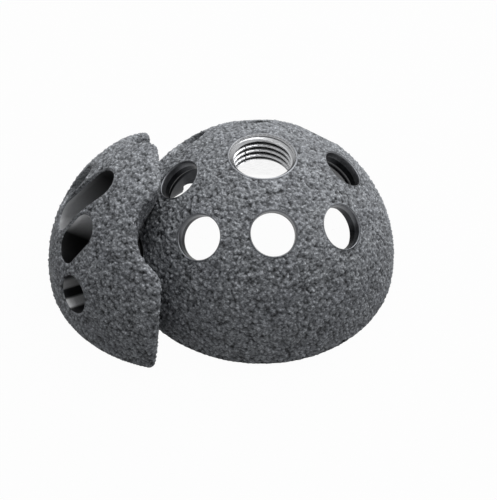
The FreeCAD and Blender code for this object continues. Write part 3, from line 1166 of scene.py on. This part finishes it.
    def build_lips(self) -> bpy.types.Object:
        """Build the machined lips of the screw holes.

        Returns:
            The piece.
        """
        result = Shape.empty()
        zones: list[Enum] = []
        for hole in self.holes():
            lip = strip([hole.ring(offset, self.radius - drop) for offset, drop in LIP])
            # The lips of the back holes lie in shade and take the lighter coat as painted light.
            at_back = hole.axes()[2][1] > self.back_share
            zones += [LipZone.PAINTED_LIGHT_COAT if at_back else LipZone.MACHINED] * len(lip.faces)
            result = result.add(lip)
        mesh = result.mesh("cup_hole_lips")
        store_values(mesh, "relief", Grains().heights(result.spots))
        set_zones(mesh, zones)
        finishes = [HOLE_LIP.material(), LIT_RIM_COAT.material()]
        return show(mesh, "cup_hole_lips", "cup_shell", finishes, self.centre)

    def dome_spots(self) -> np.ndarray:
        """Spread points over the dome, each a little off its even place.

        Returns:
            The points.
        """
        total = int(4.0 * math.pi * self.radius ** 2 / (CELL_AREA * self.vertex_gap ** 2))
        index = np.arange(total) + 0.5
        level = 1.0 - 2.0 * index / total
        reach = np.sqrt(1.0 - level ** 2)
        turns = index * GOLDEN_TURN
        spots = np.stack([reach * np.cos(turns), reach * np.sin(turns), level], axis=1)
        spots = spots[level > 0.0] * self.radius
        draws = np.random.default_rng(self.spread_seed)
        spots += draws.normal(0.0, self.unevenness * self.vertex_gap, spots.shape)
        return onto_ball(spots, self.radius)

    def foot_ring(self) -> np.ndarray:
        """Lay the coat's lowest ring of points.

        Returns:
            The points, clockwise as seen from above.
        """
        foot = circle(int(FULL_TURN * self.radius / self.vertex_gap))
        foot *= on_ball(self.radius, self.coat_foot)
        foot[:, 2] = self.coat_foot
        return foot[::-1]

    def skirted(self, shape: Shape, loops: Rings) -> Shape:
        """Turn each edge of the coat down into the core.

        Args:
            shape: The coat, whose last points are those of its edges.
            loops: Points of each edge, the foot's last.

        Returns:
            The coat with its turned edges.
        """
        first = len(shape.spots) - sum(len(loop) for loop in loops)
        for loop in loops:
            count = len(loop)
            if loop is loops[-1]:
                lower = [loop * np.array(factors) for factors in FOOT_SKIRT]
            else:
                lower = [loop * (1.0 - drop / self.radius) for drop in RIM_SKIRT]
            start = len(shape.spots)
            rows = [range(first, first + count)]
            rows += [range(start + count * row, start + count * (row + 1)) for row in range(len(lower))]
            faces: Faces = []
            for upper_row, lower_row in zip(rows, rows[1:]):
                for step in range(count):
                    after = (step + 1) % count
                    faces.append((upper_row[step], lower_row[step], lower_row[after], upper_row[after]))
            shape = Shape(np.vstack([shape.spots] + lower), shape.faces + faces)
            first += count
        return shape

    def build_coat(self) -> bpy.types.Object:
        """Build the porous coat as a fine net of grains over the dome.

        Returns:
            The piece.
        """
        pole = Opening(0.0, 0.0, 2.0 * self.lead_radius, steps=self.lead_steps)
        openings = self.holes() + [pole]
        margin = 0.5 * self.vertex_gap
        spots = self.dome_spots()
        clear = spots[:, 2] > self.coat_foot + margin
        for hole in openings:
            clear &= hole.distance(spots) > self.coat_gap + margin
        loops = [hole.ring(self.coat_gap, self.radius) for hole in openings] + [self.foot_ring()]
        spots = np.vstack([spots[clear]] + loops)

        # The net is laid on the dome's flat picture, and what spans an opening or the mouth goes.
        flat = spots[:, :2] / (self.radius + spots[:, 2:])
        result = delaunay_2d_cdt([Vector(spot) for spot in flat.tolist()], [], [], 0, TINY, False)
        corners = np.array(result[2])
        middle = spots[corners].mean(axis=1)
        keep = middle[:, 2] > self.coat_foot + FOOT_SLACK
        on_dome = onto_ball(middle, self.radius)
        for hole in openings:
            keep &= hole.distance(on_dome) > self.coat_gap - RIM_SLACK
        shape = Shape(spots, [tuple(face) for face in corners[keep].tolist()])
        shape = self.skirted(shape, loops)

        grains = Grains()
        heights = grains.heights(shape.spots)
        share = fade_in(shape.spots[:, 2], 0.0, self.foot_fade, self.foot_relief)
        for hole in openings:
            inner, outer = self.coat_gap - self.rim_overlap, self.coat_gap + self.rim_fade
            share *= fade_in(hole.distance(shape.spots), inner, outer, self.rim_relief)
        out = shape.spots / np.linalg.norm(shape.spots, axis=1)[:, None]
        shape.spots += out * (grains.relief(heights) * share)[:, None]
        shape.spots[:, 2] = np.maximum(shape.spots[:, 2], FLOOR_GAP)
        mesh = shape.mesh("cup_coat")
        store_values(mesh, "relief", heights)
        finishes = [PorousCoat("cup_coat").material()]
        return show(mesh, "cup_coat", "cup_shell", finishes, self.centre)

    def thread_radius(self, turns: np.ndarray, level: float) -> np.ndarray:
        """Find the radius of the threaded bore.

        Args:
            turns: Angle of each point, in radians.
            level: Height of the points.

        Returns:
            Radius of each point.
        """
        levels = np.full(len(turns), level)
        phase = np.mod(levels / self.pitch - turns / FULL_TURN - self.thread_start, 1.0)
        wave = np.clip((np.abs(phase - 0.5) - self.crest_flat) / self.flank_share, 0.0, 1.0)
        lead_end = self.lead_level() - self.lead_height
        fade = smooth_step(levels, self.boss_level + self.runout_start, self.boss_level + self.runout_end)
        groove = self.major_radius - self.minor_radius
        radius = self.minor_radius + groove * wave * fade

        # The seam is told by the degrees between it and each point, the short way round.
        away = np.degrees(np.abs(np.angle(np.exp(1j * (turns - math.radians(self.seam_turn))))))
        seam = (away < self.seam_width / 2.0) & (levels < lead_end - self.seam_gap)
        radius = np.where(seam, self.major_radius - self.seam_rise, radius)
        widening = self.lead_radius - self.minor_radius
        lead = self.minor_radius + (levels - lead_end) * widening / self.lead_height
        bevel = self.minor_radius + self.boss_level + self.inner_bevel - levels
        return np.maximum(radius, np.maximum(lead, bevel))

    def thread_ring(self, turns: np.ndarray, level: float) -> np.ndarray:
        """Lay a ring of the threaded bore.

        Args:
            turns: Angle of each point, in radians.
            level: Height of the ring.

        Returns:
            Points of the ring.
        """
        radius = self.thread_radius(turns, level)
        rise = np.full(len(turns), level)
        return np.stack([radius * np.cos(turns), radius * np.sin(turns), rise], axis=1)

    def thread_painted_light(self, spots: np.ndarray) -> np.ndarray:
        """Find the painted light on the threaded bore: a painted highlight on its crests most, painted
        shade in its grooves.

        Args:
            spots: Points of the bore.

        Returns:
            Painted light of each point, from 0 to 1.
        """
        reach = np.hypot(spots[:, 0], spots[:, 1])
        crest_light = 1.0 - smooth_step(reach, self.minor_radius, self.major_radius)
        lead_end = self.lead_level() - self.lead_height
        low, high = self.lead_highlight_fade
        in_lead = smooth_step(spots[:, 2], lead_end + low, lead_end + high)
        return self.groove_shade + self.crest_highlight * crest_light * (1.0 - in_lead) + self.lead_highlight * in_lead

    def build_thread(self) -> bpy.types.Object:
        """Build the threaded bore at the pole, with its lead-in.

        Returns:
            The piece.
        """
        turns = np.linspace(0.0, FULL_TURN, self.thread_turns, endpoint=False)
        seam = math.radians(self.seam_turn)
        half = math.radians(self.seam_width / 2.0)
        turns = np.unique(np.concatenate([turns, [seam + half * edge for edge in SEAM_EDGES]]))
        levels = np.linspace(self.boss_level, self.lead_level(), self.thread_levels)
        rings = [self.thread_ring(turns, level) for level in levels]
        flange = widened(rings[0], *FLANGE)
        collar = [widened(rings[-1], *edge) for edge in COLLAR]
        shape = strip([flange] + rings + collar)
        mesh = shape.mesh("cup_polar_thread")
        mesh.set_sharp_from_angle(angle=THREAD_EDGE)
        # Painted light of the thread, read by its wall material.
        store_values(mesh, "painted_light", self.thread_painted_light(shape.spots))
        in_collar = len(collar) * len(turns)
        in_bore = len(mesh.polygons) - in_collar
        set_zones(mesh, [ThreadZone.CUT] * in_bore + [ThreadZone.COLLAR] * in_collar)
        finishes = [PaintedLightWall("thread_wall").material(), HOLE_LIP.material()]
        return show(mesh, "cup_polar_thread", "cup_shell", finishes, self.centre)

    def build(self) -> None:
        """Build and dress every piece of the cup."""
        self.build_core()
        self.build_lips()
        self.build_thread()
        self.build_coat()


# Degrees round a screw hole from its lowest line at which its bright and its dim painted highlight band
# start and end.
BRIGHT_BAND = ((1.0, 12.0), (32.0, 40.0))
DIM_BAND = ((63.0, 70.0), (85.0, 110.0))
DIM_HIGHLIGHT = 0.6
# Painted light of the mid-plane slot's wall: the level at its shaded upper end, and the painted highlight
# its lower end has more.
CROWN_LEAST = 0.03
CROWN_HIGHLIGHT = 0.5
# Where a flank slot's painted highlight starts and is full, as shares of half its length up from its
# middle.
FLANK_SPAN = (-0.3, 0.8)
# Heights from the dome, negative inside it, between which the painted highlight of screw holes and of flank
# slots sets in; deeper in they keep the painted shade.
BORE_FADE = (-7.0, -5.0)
FLANK_FADE = (-9.0, -4.0)


@dataclass
class Augment:
    """Crescent augment: a hollowed dome with a leaning, notched arch and slots."""

    centre: float = -BALL_GAP / 2.0
    radius: float = BALL_RADIUS
    offset: float = BALL_GAP
    hollow: float = BALL_RADIUS + CLEARANCE
    # The leaning arch and its notches.
    arch_offset: float = 7.95
    arch_tilt: float = 7.7
    arch_round: float = 1.6
    notch_radius: float = 8.3
    notch_inset: float = 1.4
    notch_rise: float = 58.5
    lip_round: float = 2.0
    # The slots, one on the mid-plane and one on each flank.
    slot_width: float = 6.5
    slot_bridge: float = 0.7
    crown_length: float = 16.4
    crown_polar: float = 45.1
    crown_steps: int = 120
    flank_length: float = 10.9
    flank_polar: float = 52.5
    flank_steps: int = 108
    # The screw holes with their head seats.
    hole_radius: float = 3.75
    hole_polar: float = 72.7
    hole_swing: float = 32.2
    head_radius: float = 4.2
    head_level: float = 16.5
    head_depth: float = 0.45
    # The coat's edges, and how its relief fades towards them.
    coat_gap: float = 0.2
    grain_seed: int = 23
    foot_fade: float = 0.6
    foot_level: float = 0.03
    rim_fade: float = 0.6
    rim_relief: float = 0.1
    hollow_fade: tuple[float, float] = (0.05, 0.5)
    hollow_loss: float = 0.5
    # The net that wraps the body, and how it is evened out.
    step: float = 0.27
    slope_reach: float = 0.02
    evening: float = 0.5
    evening_turns: int = 3
    settling_turns: int = 2
    # The walls and lips of the openings.
    lip_drop: float = 0.03
    wall_steps: int = 40
    wall_rings: int = 2

    def openings(self) -> list[Opening]:
        """Place the three slots and the two screw holes.

        Returns:
            The slot on the mid-plane, the flank slots and the screw holes.
        """
        spread = self.slot_width + self.slot_bridge
        crown = Opening(self.crown_polar, 0.0, self.slot_width, self.crown_length, steps=self.crown_steps)
        flanks = [Opening(self.flank_polar, 0.0, self.slot_width, self.flank_length, side * spread,
                          self.flank_steps) for side in (1.0, -1.0)]
        bores = [Opening(self.hole_polar, side * self.hole_swing, 2.0 * self.hole_radius)
                 for side in (1.0, -1.0)]
        return [crown] + flanks + bores

    def seat_width(self, hole: Opening) -> float:
        """Return how far a screw hole's head seat stands outside its wall, and 0 for a slot."""
        return self.head_radius - self.hole_radius if hole.length == 0.0 else 0.0

    def into_hollow(self, spots: np.ndarray) -> np.ndarray:
        """Measure how far points lie inside the ball that hollows the augment.

        Args:
            spots: Points measured from the augment's centre.

        Returns:
            Distance of each point, negative outside the ball.
        """
        return self.hollow - np.linalg.norm(spots - np.array([self.offset, 0.0, 0.0]), axis=1)

    @staticmethod
    def rounded(first: np.ndarray, second: np.ndarray, radius: float) -> np.ndarray:
        """Keep what lies inside two surfaces, with a rounded edge between them.

        Args:
            first: Distance outside one surface.
            second: Distance outside the other.
            radius: Radius of the edge's rounding.

        Returns:
            Distance outside both.
        """
        inner = np.minimum(np.maximum(first, second), -radius)
        return inner + np.hypot(np.maximum(first + radius, 0.0), np.maximum(second + radius, 0.0))

    def field(self, spots: np.ndarray) -> np.ndarray:
        """Measure how far points lie outside the augment.

        Args:
            spots: Points measured from the augment's centre.

        Returns:
            Distance of each point, negative inside.
        """
        tilt, rise = math.radians(self.arch_tilt), math.radians(self.notch_rise)
        side = np.abs(spots[:, 1])
        dome = np.linalg.norm(spots, axis=1) - self.radius
        arch = spots[:, 0] * math.cos(tilt) - spots[:, 2] * math.sin(tilt) + self.arch_offset
        across = spots[:, 0] + self.notch_inset
        lift = spots[:, 2] * math.cos(rise) - side * math.sin(rise)
        notch = self.notch_radius - np.hypot(across, lift)
        body = self.rounded(dome, self.rounded(arch, notch, self.lip_round), self.arch_round)
        body = np.maximum(body, self.into_hollow(spots))
        for hole in self.openings():
            in_seat = spots @ hole.axes()[2] < self.head_level + self.head_depth
            widening = np.where(in_seat, self.seat_width(hole), 0.0)
            body = np.maximum(body, self.coat_gap + widening - hole.distance(spots))
        return np.maximum(body, -spots[:, 2])

    def net(self) -> Shape:
        """Wrap the augment in a fine net of four-sided faces.

        Returns:
            The net, with a vertex in each cell of the grid that the surface crosses.
        """
        low = np.array([-self.radius - OVERSHOOT, -self.radius - OVERSHOOT, -OVERSHOOT])
        high = np.array([0.0, self.radius + OVERSHOOT, self.radius + OVERSHOOT])
        counts = np.ceil((high - low) / self.step).astype(int) + 1
        ticks = [low[axis] + self.step * np.arange(counts[axis]) for axis in range(3)]
        grid = np.stack(np.meshgrid(*ticks, indexing="ij"), axis=-1).reshape(-1, 3)
        values = self.field(grid).reshape(counts)
        inside = values < 0.0
        cells = tuple(int(count) - 1 for count in counts)
        places = np.zeros(cells + (3,))
        hits = np.zeros(cells)

        # A cell's vertex goes to the mean of the places where the surface crosses the cell's edges.
        for axis in range(3):
            others = [other for other in range(3) if other != axis]
            ahead = np.moveaxis(values, axis, 0)
            start, end = ahead[:-1], ahead[1:]
            crossed = (start < 0.0) != (end < 0.0)
            share = np.where(crossed, start / np.where(crossed, start - end, 1.0), 0.0)
            crossed, share = np.moveaxis(crossed, 0, axis), np.moveaxis(share, 0, axis)
            for first, second in itertools.product((0, 1), repeat=2):
                window = [slice(None)] * 3
                window[others[0]] = slice(first, cells[others[0]] + first)
                window[others[1]] = slice(second, cells[others[1]] + second)
                hit = crossed[tuple(window)]
                hits += hit
                places[..., axis] += np.where(hit, share[tuple(window)], 0.0)
                places[..., others[0]] += np.where(hit, float(first), 0.0)
                places[..., others[1]] += np.where(hit, float(second), 0.0)
        active = hits > 0
        number = np.full(cells, -1)
        number[active] = np.arange(int(active.sum()))
        corner = np.stack(np.nonzero(active), axis=1)
        spots = low + self.step * (corner + places[active] / hits[active][:, None])
        faces: Faces = []

        # Each edge of the grid that the surface crosses gets a face between the four cells round it.
        for axis in range(3):
            second, third = (axis + 1) % 3, (axis + 2) % 3
            signs = np.moveaxis(inside, (axis, second, third), (0, 1, 2))
            cell = np.moveaxis(number, (axis, second, third), (0, 1, 2))
            flips = signs[:-1, 1:-1, 1:-1] != signs[1:, 1:-1, 1:-1]
            i, j, k = np.nonzero(flips)
            round_edge = [cell[i, j, k], cell[i, j + 1, k], cell[i, j + 1, k + 1], cell[i, j, k + 1]]
            quads = np.stack(round_edge, axis=1)
            leaving = signs[:-1, 1:-1, 1:-1][i, j, k]
            quads[~leaving] = quads[~leaving][:, ::-1]
            faces += [tuple(quad) for quad in quads.tolist()]
        return Shape(spots, faces)

    def slope(self, spots: np.ndarray) -> np.ndarray:
        """Find the outward direction of the surface.

        Args:
            spots: Points measured from the augment's centre.

        Returns:
            Unit direction at each point.
        """
        parts = []
        for axis in range(3):
            shift = np.zeros(3)
            shift[axis] = self.slope_reach
            parts.append(self.field(spots + shift) - self.field(spots - shift))
        slope = np.stack(parts, axis=1)
        return slope / np.maximum(np.linalg.norm(slope, axis=1), TINY)[:, None]

    def relax(self, shape: Shape) -> np.ndarray:
        """Even out the net and lay it on the surface.

        Args:
            shape: The net.

        Returns:
            Its moved vertices.
        """
        quads = np.array(shape.faces)
        pairs = np.vstack([quads[:, [side, (side + 1) % 4]] for side in range(4)])
        pairs = np.vstack([pairs, pairs[:, ::-1]])
        spots = shape.spots.copy()
        count = np.bincount(pairs[:, 0], minlength=len(spots)).astype(float)
        for turn in range(self.evening_turns + 1):
            if turn < self.evening_turns:
                total = np.zeros_like(spots)
                np.add.at(total, pairs[:, 0], spots[pairs[:, 1]])
                spots += self.evening * (total / count[:, None] - spots)
            for _ in range(self.settling_turns):
                spots -= self.slope(spots) * self.field(spots)[:, None]
        return spots

    def build_coat(self) -> bpy.types.Object:
        """Build the augment's coated body.

        Returns:
            The piece.
        """
        shape = self.net()
        shape.spots = self.relax(shape)
        grains = Grains(seed=self.grain_seed)
        heights = grains.heights(shape.spots)
        share = smooth_step(shape.spots[:, 2], FLOOR_GAP, self.foot_fade)
        for hole in self.openings():
            outer = self.coat_gap + self.rim_fade
            share *= fade_in(hole.distance(shape.spots), self.coat_gap, outer, self.rim_relief)
        in_hollow = 1.0 - smooth_step(np.abs(self.into_hollow(shape.spots)), *self.hollow_fade)
        rise = grains.relief(heights) * share
        rise -= in_hollow * self.hollow_loss * np.maximum(rise, 0.0)
        shape.spots = shape.spots + self.slope(shape.spots) * rise[:, None]
        shape.spots[:, 2] = np.maximum(shape.spots[:, 2], 0.0)
        mesh = shape.mesh("augment_coat")
        store_values(mesh, "relief", heights)
        foot_level = self.foot_level * MM
        set_zones(mesh, [AugmentZone.FOOT if face.center.z < foot_level else AugmentZone.COAT
                         for face in mesh.polygons])
        finishes = [PorousCoat("augment_coat").material(), FOOT_METAL.material()]
        return show(mesh, "augment_coat", "augment", finishes, self.centre)

    def painted_light(self, hole: Opening, spots: np.ndarray) -> np.ndarray:
        """Find the painted light on an opening's wall: painted shade deep inside, painted highlights in
        bands and towards ends.

        Args:
            hole: The opening.
            spots: Points of its wall.

        Returns:
            Painted light of each point, from 0 for painted shade to 1 for a painted highlight.
        """
        along, across, _ = hole.axes()
        height = np.linalg.norm(spots, axis=1) - self.radius
        down = spots @ along
        end = 0.5 * hole.length
        if hole.length == 0.0:
            inward = -math.copysign(1.0, hole.swing) * (spots @ across)
            turn = np.degrees(np.arctan2(inward, down))
            bands = band(turn, *BRIGHT_BAND) + DIM_HIGHLIGHT * band(turn, *DIM_BAND)
            return bands * smooth_step(height, *BORE_FADE)
        if hole.shift == 0.0:
            return CROWN_LEAST + CROWN_HIGHLIGHT * smooth_step(down, -0.5 * end, end)
        start, full = FLANK_SPAN
        return smooth_step(-down, start * end, full * end) * smooth_step(height, *FLANK_FADE)

    def wall_zone(self, hole: Opening) -> WallZone:
        """Choose the finish of an opening's wall.

        Args:
            hole: The opening.

        Returns:
            Bore for a screw hole, a lighter coat as painted light for the slot on the far flank, milled for
            the other slots.
        """
        if hole.length == 0.0:
            return WallZone.BORE
        return WallZone.PAINTED_LIGHT_COAT if hole.shift < 0.0 else WallZone.MILLED

    def sleeve_rings(self, hole: Opening) -> tuple[Rings, Rings, Rings]:
        """Lay the rings of an opening's inner end, wall and outer lip.

        Args:
            hole: The opening.

        Returns:
            The rings of each, from the inside out.
        """
        cup = np.array([self.offset, 0.0, 0.0])
        seat = self.seat_width(hole)
        outer = [hole.ring(offset, self.radius - self.lip_drop - drop) for offset, drop in LIP]
        inner = [hole.inner_ring(offset + seat, cup, self.hollow + drop) for offset, drop in LIP]
        foot = inner[0]
        if seat > 0.0:
            level = np.full(hole.steps, self.head_level)
            foot = hole.lift(hole.outline(0.0), level + self.head_depth)
            inner = [foot, hole.lift(hole.outline(seat), level)] + inner
        shares = np.linspace(0.0, 1.0, self.wall_steps)[1:-1]
        wall = [foot + (outer[0] - foot) * share for share in shares]
        return inner[::-1], wall, outer

    def build_sleeves(self) -> bpy.types.Object:
        """Build the smooth walls and lips of the slots and holes.

        Returns:
            The piece.
        """
        result = Shape.empty()
        painted_lights = []
        zones: list[Enum] = []
        for hole in self.openings():
            inner, wall, outer = self.sleeve_rings(hole)
            sleeve = strip(inner + wall + outer)
            painted_lights.append(self.painted_light(hole, sleeve.spots))
            in_lip = (len(outer) - self.wall_rings) * hole.steps
            in_wall = len(sleeve.faces) - in_lip
            zones += [self.wall_zone(hole)] * in_wall + [WallZone.LIP] * in_lip
            result = result.add(sleeve)
        result.spots[:, 2] = np.maximum(result.spots[:, 2], FLOOR_GAP)
        mesh = result.mesh("augment_sleeves")
        # Painted light of the walls, read by their materials.
        store_values(mesh, "painted_light", np.concatenate(painted_lights))
        store_values(mesh, "relief", Grains(seed=self.grain_seed).heights(result.spots))
        set_zones(mesh, zones)
        # The far flank slot takes the lighter coat as painted light.
        finishes = [SLOT_WALL.material(), PorousCoat("slot_lip").material(), LIT_SLOT_COAT.material(),
                    BORE_WALL.material()]
        return show(mesh, "augment_sleeves", "augment", finishes, self.centre)

    def build(self) -> None:
        """Build and dress every piece of the augment."""
        self.build_coat()
        self.build_sleeves()


@dataclass
class Studio:
    """Plain white floor, soft light from above and the camera."""

    # The floor and the surround, in metres and as shares of white.
    floor_size: float = 6.0
    floor_drop: float = 0.00003
    floor_grey: float = 0.35
    shadow_share: float = 0.03
    ambient: float = 0.26
    tint: Colour = (0.96, 0.98, 1.0)
    # The soft light, in watts and metres.
    key_power: float = 8.0
    key_size: float = 0.8
    key_place: tuple[float, float, float] = (0.22, 0.24, 0.58)
    key_aim: tuple[float, float, float] = (0.0, 0.0, 0.01)
    # The camera: its lens in pixels and millimetres, its clipping in metres, its place and directions.
    focal_pixels: float = 885.88
    picture_height: float = 500.0
    sensor: float = 36.0
    nearest: float = 0.005
    farthest: float = 20.0
    eye: tuple[float, float, float] = (-13.872, -123.884, 136.013)
    right: tuple[float, float, float] = (0.99171, -0.12583, 0.02610)
    up: tuple[float, float, float] = (0.07441, 0.72782, 0.68171)
    ahead: tuple[float, float, float] = (0.10478, 0.67412, -0.73115)

    def white_for(self, tree: bpy.types.NodeTree) -> bpy.types.NodeSocket:
        """Tell the rays that see the plain background.

        Args:
            tree: Node tree of a material or of the world.

        Returns:
            A value of 1 for camera, glossy and transmission rays, and of 0 for others.
        """
        path = tree.nodes.new("ShaderNodeLightPath")
        total = path.outputs["Is Camera Ray"]
        for name in ("Is Glossy Ray", "Is Transmission Ray"):
            join = tree.nodes.new("ShaderNodeMath")
            join.operation = "MAXIMUM"
            tree.links.new(total, join.inputs[0])
            tree.links.new(path.outputs[name], join.inputs[1])
            total = join.outputs["Value"]
        return total

    def build_floor(self) -> None:
        """Lay the floor, white to the eye with a faint shadow."""
        half = self.floor_size / 2.0
        mesh = bpy.data.meshes.new("floor")
        signs = ((-1.0, -1.0), (1.0, -1.0), (1.0, 1.0), (-1.0, 1.0))
        mesh.from_pydata([(x * half, y * half, -self.floor_drop) for x, y in signs], [], [(0, 1, 2, 3)])
        floor = bpy.data.objects.new("floor", mesh)
        bpy.context.scene.collection.objects.link(floor)
        board = NodeBoard("floor_white")
        matt = board.add("ShaderNodeBsdfDiffuse")
        matt.inputs["Color"].default_value = (*grey(self.floor_grey), 1.0)
        glow = board.add("ShaderNodeEmission")
        glow.inputs["Strength"].default_value = 1.0
        share = board.add("ShaderNodeMath", operation="MULTIPLY")
        board.link(self.white_for(board.tree), share.inputs[0])
        share.inputs[1].default_value = 1.0 - self.shadow_share
        mix = board.add("ShaderNodeMixShader")
        board.link(share.outputs["Value"], mix.inputs["Fac"])
        board.link(matt.outputs["BSDF"], mix.inputs[1])
        board.link(glow.outputs["Emission"], mix.inputs[2])
        board.link(mix.outputs["Shader"], board.output.inputs["Surface"])
        mesh.materials.append(board.material)

    def build_world(self) -> None:
        """Set a dim surround that is white to the eye."""
        world = bpy.data.worlds.new("studio")
        bpy.context.scene.world = world
        world.use_nodes = True
        tree = world.node_tree
        tree.nodes.clear()
        output = tree.nodes.new("ShaderNodeOutputWorld")
        mix = tree.nodes.new("ShaderNodeMixShader")
        tree.links.new(self.white_for(tree), mix.inputs["Fac"])
        for socket, colour, strength in ((1, self.tint, self.ambient), (2, grey(1.0), 1.0)):
            background = tree.nodes.new("ShaderNodeBackground")
            background.inputs["Color"].default_value = (*colour, 1.0)
            background.inputs["Strength"].default_value = strength
            tree.links.new(background.outputs["Background"], mix.inputs[socket])
        tree.links.new(mix.outputs["Shader"], output.inputs["Surface"])

    def build_lamps(self) -> None:
        """Hang the soft light overhead."""
        lamp = bpy.data.lights.new("overhead", "AREA")
        lamp.shape = "SQUARE"
        lamp.size = self.key_size
        lamp.energy = self.key_power
        holder = bpy.data.objects.new("overhead", lamp)
        holder.location = self.key_place
        aim = Vector(self.key_aim) - Vector(self.key_place)
        holder.rotation_euler = aim.to_track_quat("-Z", "Y").to_euler()
        bpy.context.scene.collection.objects.link(holder)

    def build_camera(self) -> None:
        """Set the camera where the photograph was taken from."""
        lens = bpy.data.cameras.new("camera")
        lens.sensor_fit = "VERTICAL"
        lens.sensor_height = self.sensor
        lens.lens = self.focal_pixels * self.sensor / self.picture_height
        lens.clip_start = self.nearest
        lens.clip_end = self.farthest
        camera = bpy.data.objects.new("camera", lens)
        right, up, ahead = Vector(self.right), Vector(self.up), Vector(self.ahead)
        place = Vector(self.eye) * MM
        rows = [(right[axis], up[axis], -ahead[axis], place[axis]) for axis in range(3)]
        camera.matrix_world = Matrix(rows + [(0.0, 0.0, 0.0, 1.0)])
        bpy.context.scene.collection.objects.link(camera)
        bpy.context.scene.camera = camera

    def build(self) -> None:
        """Set up floor, surround, lamps and camera."""
        self.build_camera()
        self.build_floor()
        self.build_world()
        self.build_lamps()
        bpy.context.scene.view_settings.view_transform = "Standard"


def main() -> None:
    """Load the frame, then build the studio, the cup and the augment."""
    logging.basicConfig(level=logging.INFO, format="%(name)s: %(message)s")
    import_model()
    Studio().build()
    for part in (CupShell(), Augment()):
        part.build()
        LOG.info("%s built", type(part).__name__)


if __name__ == "__main__":
    main()
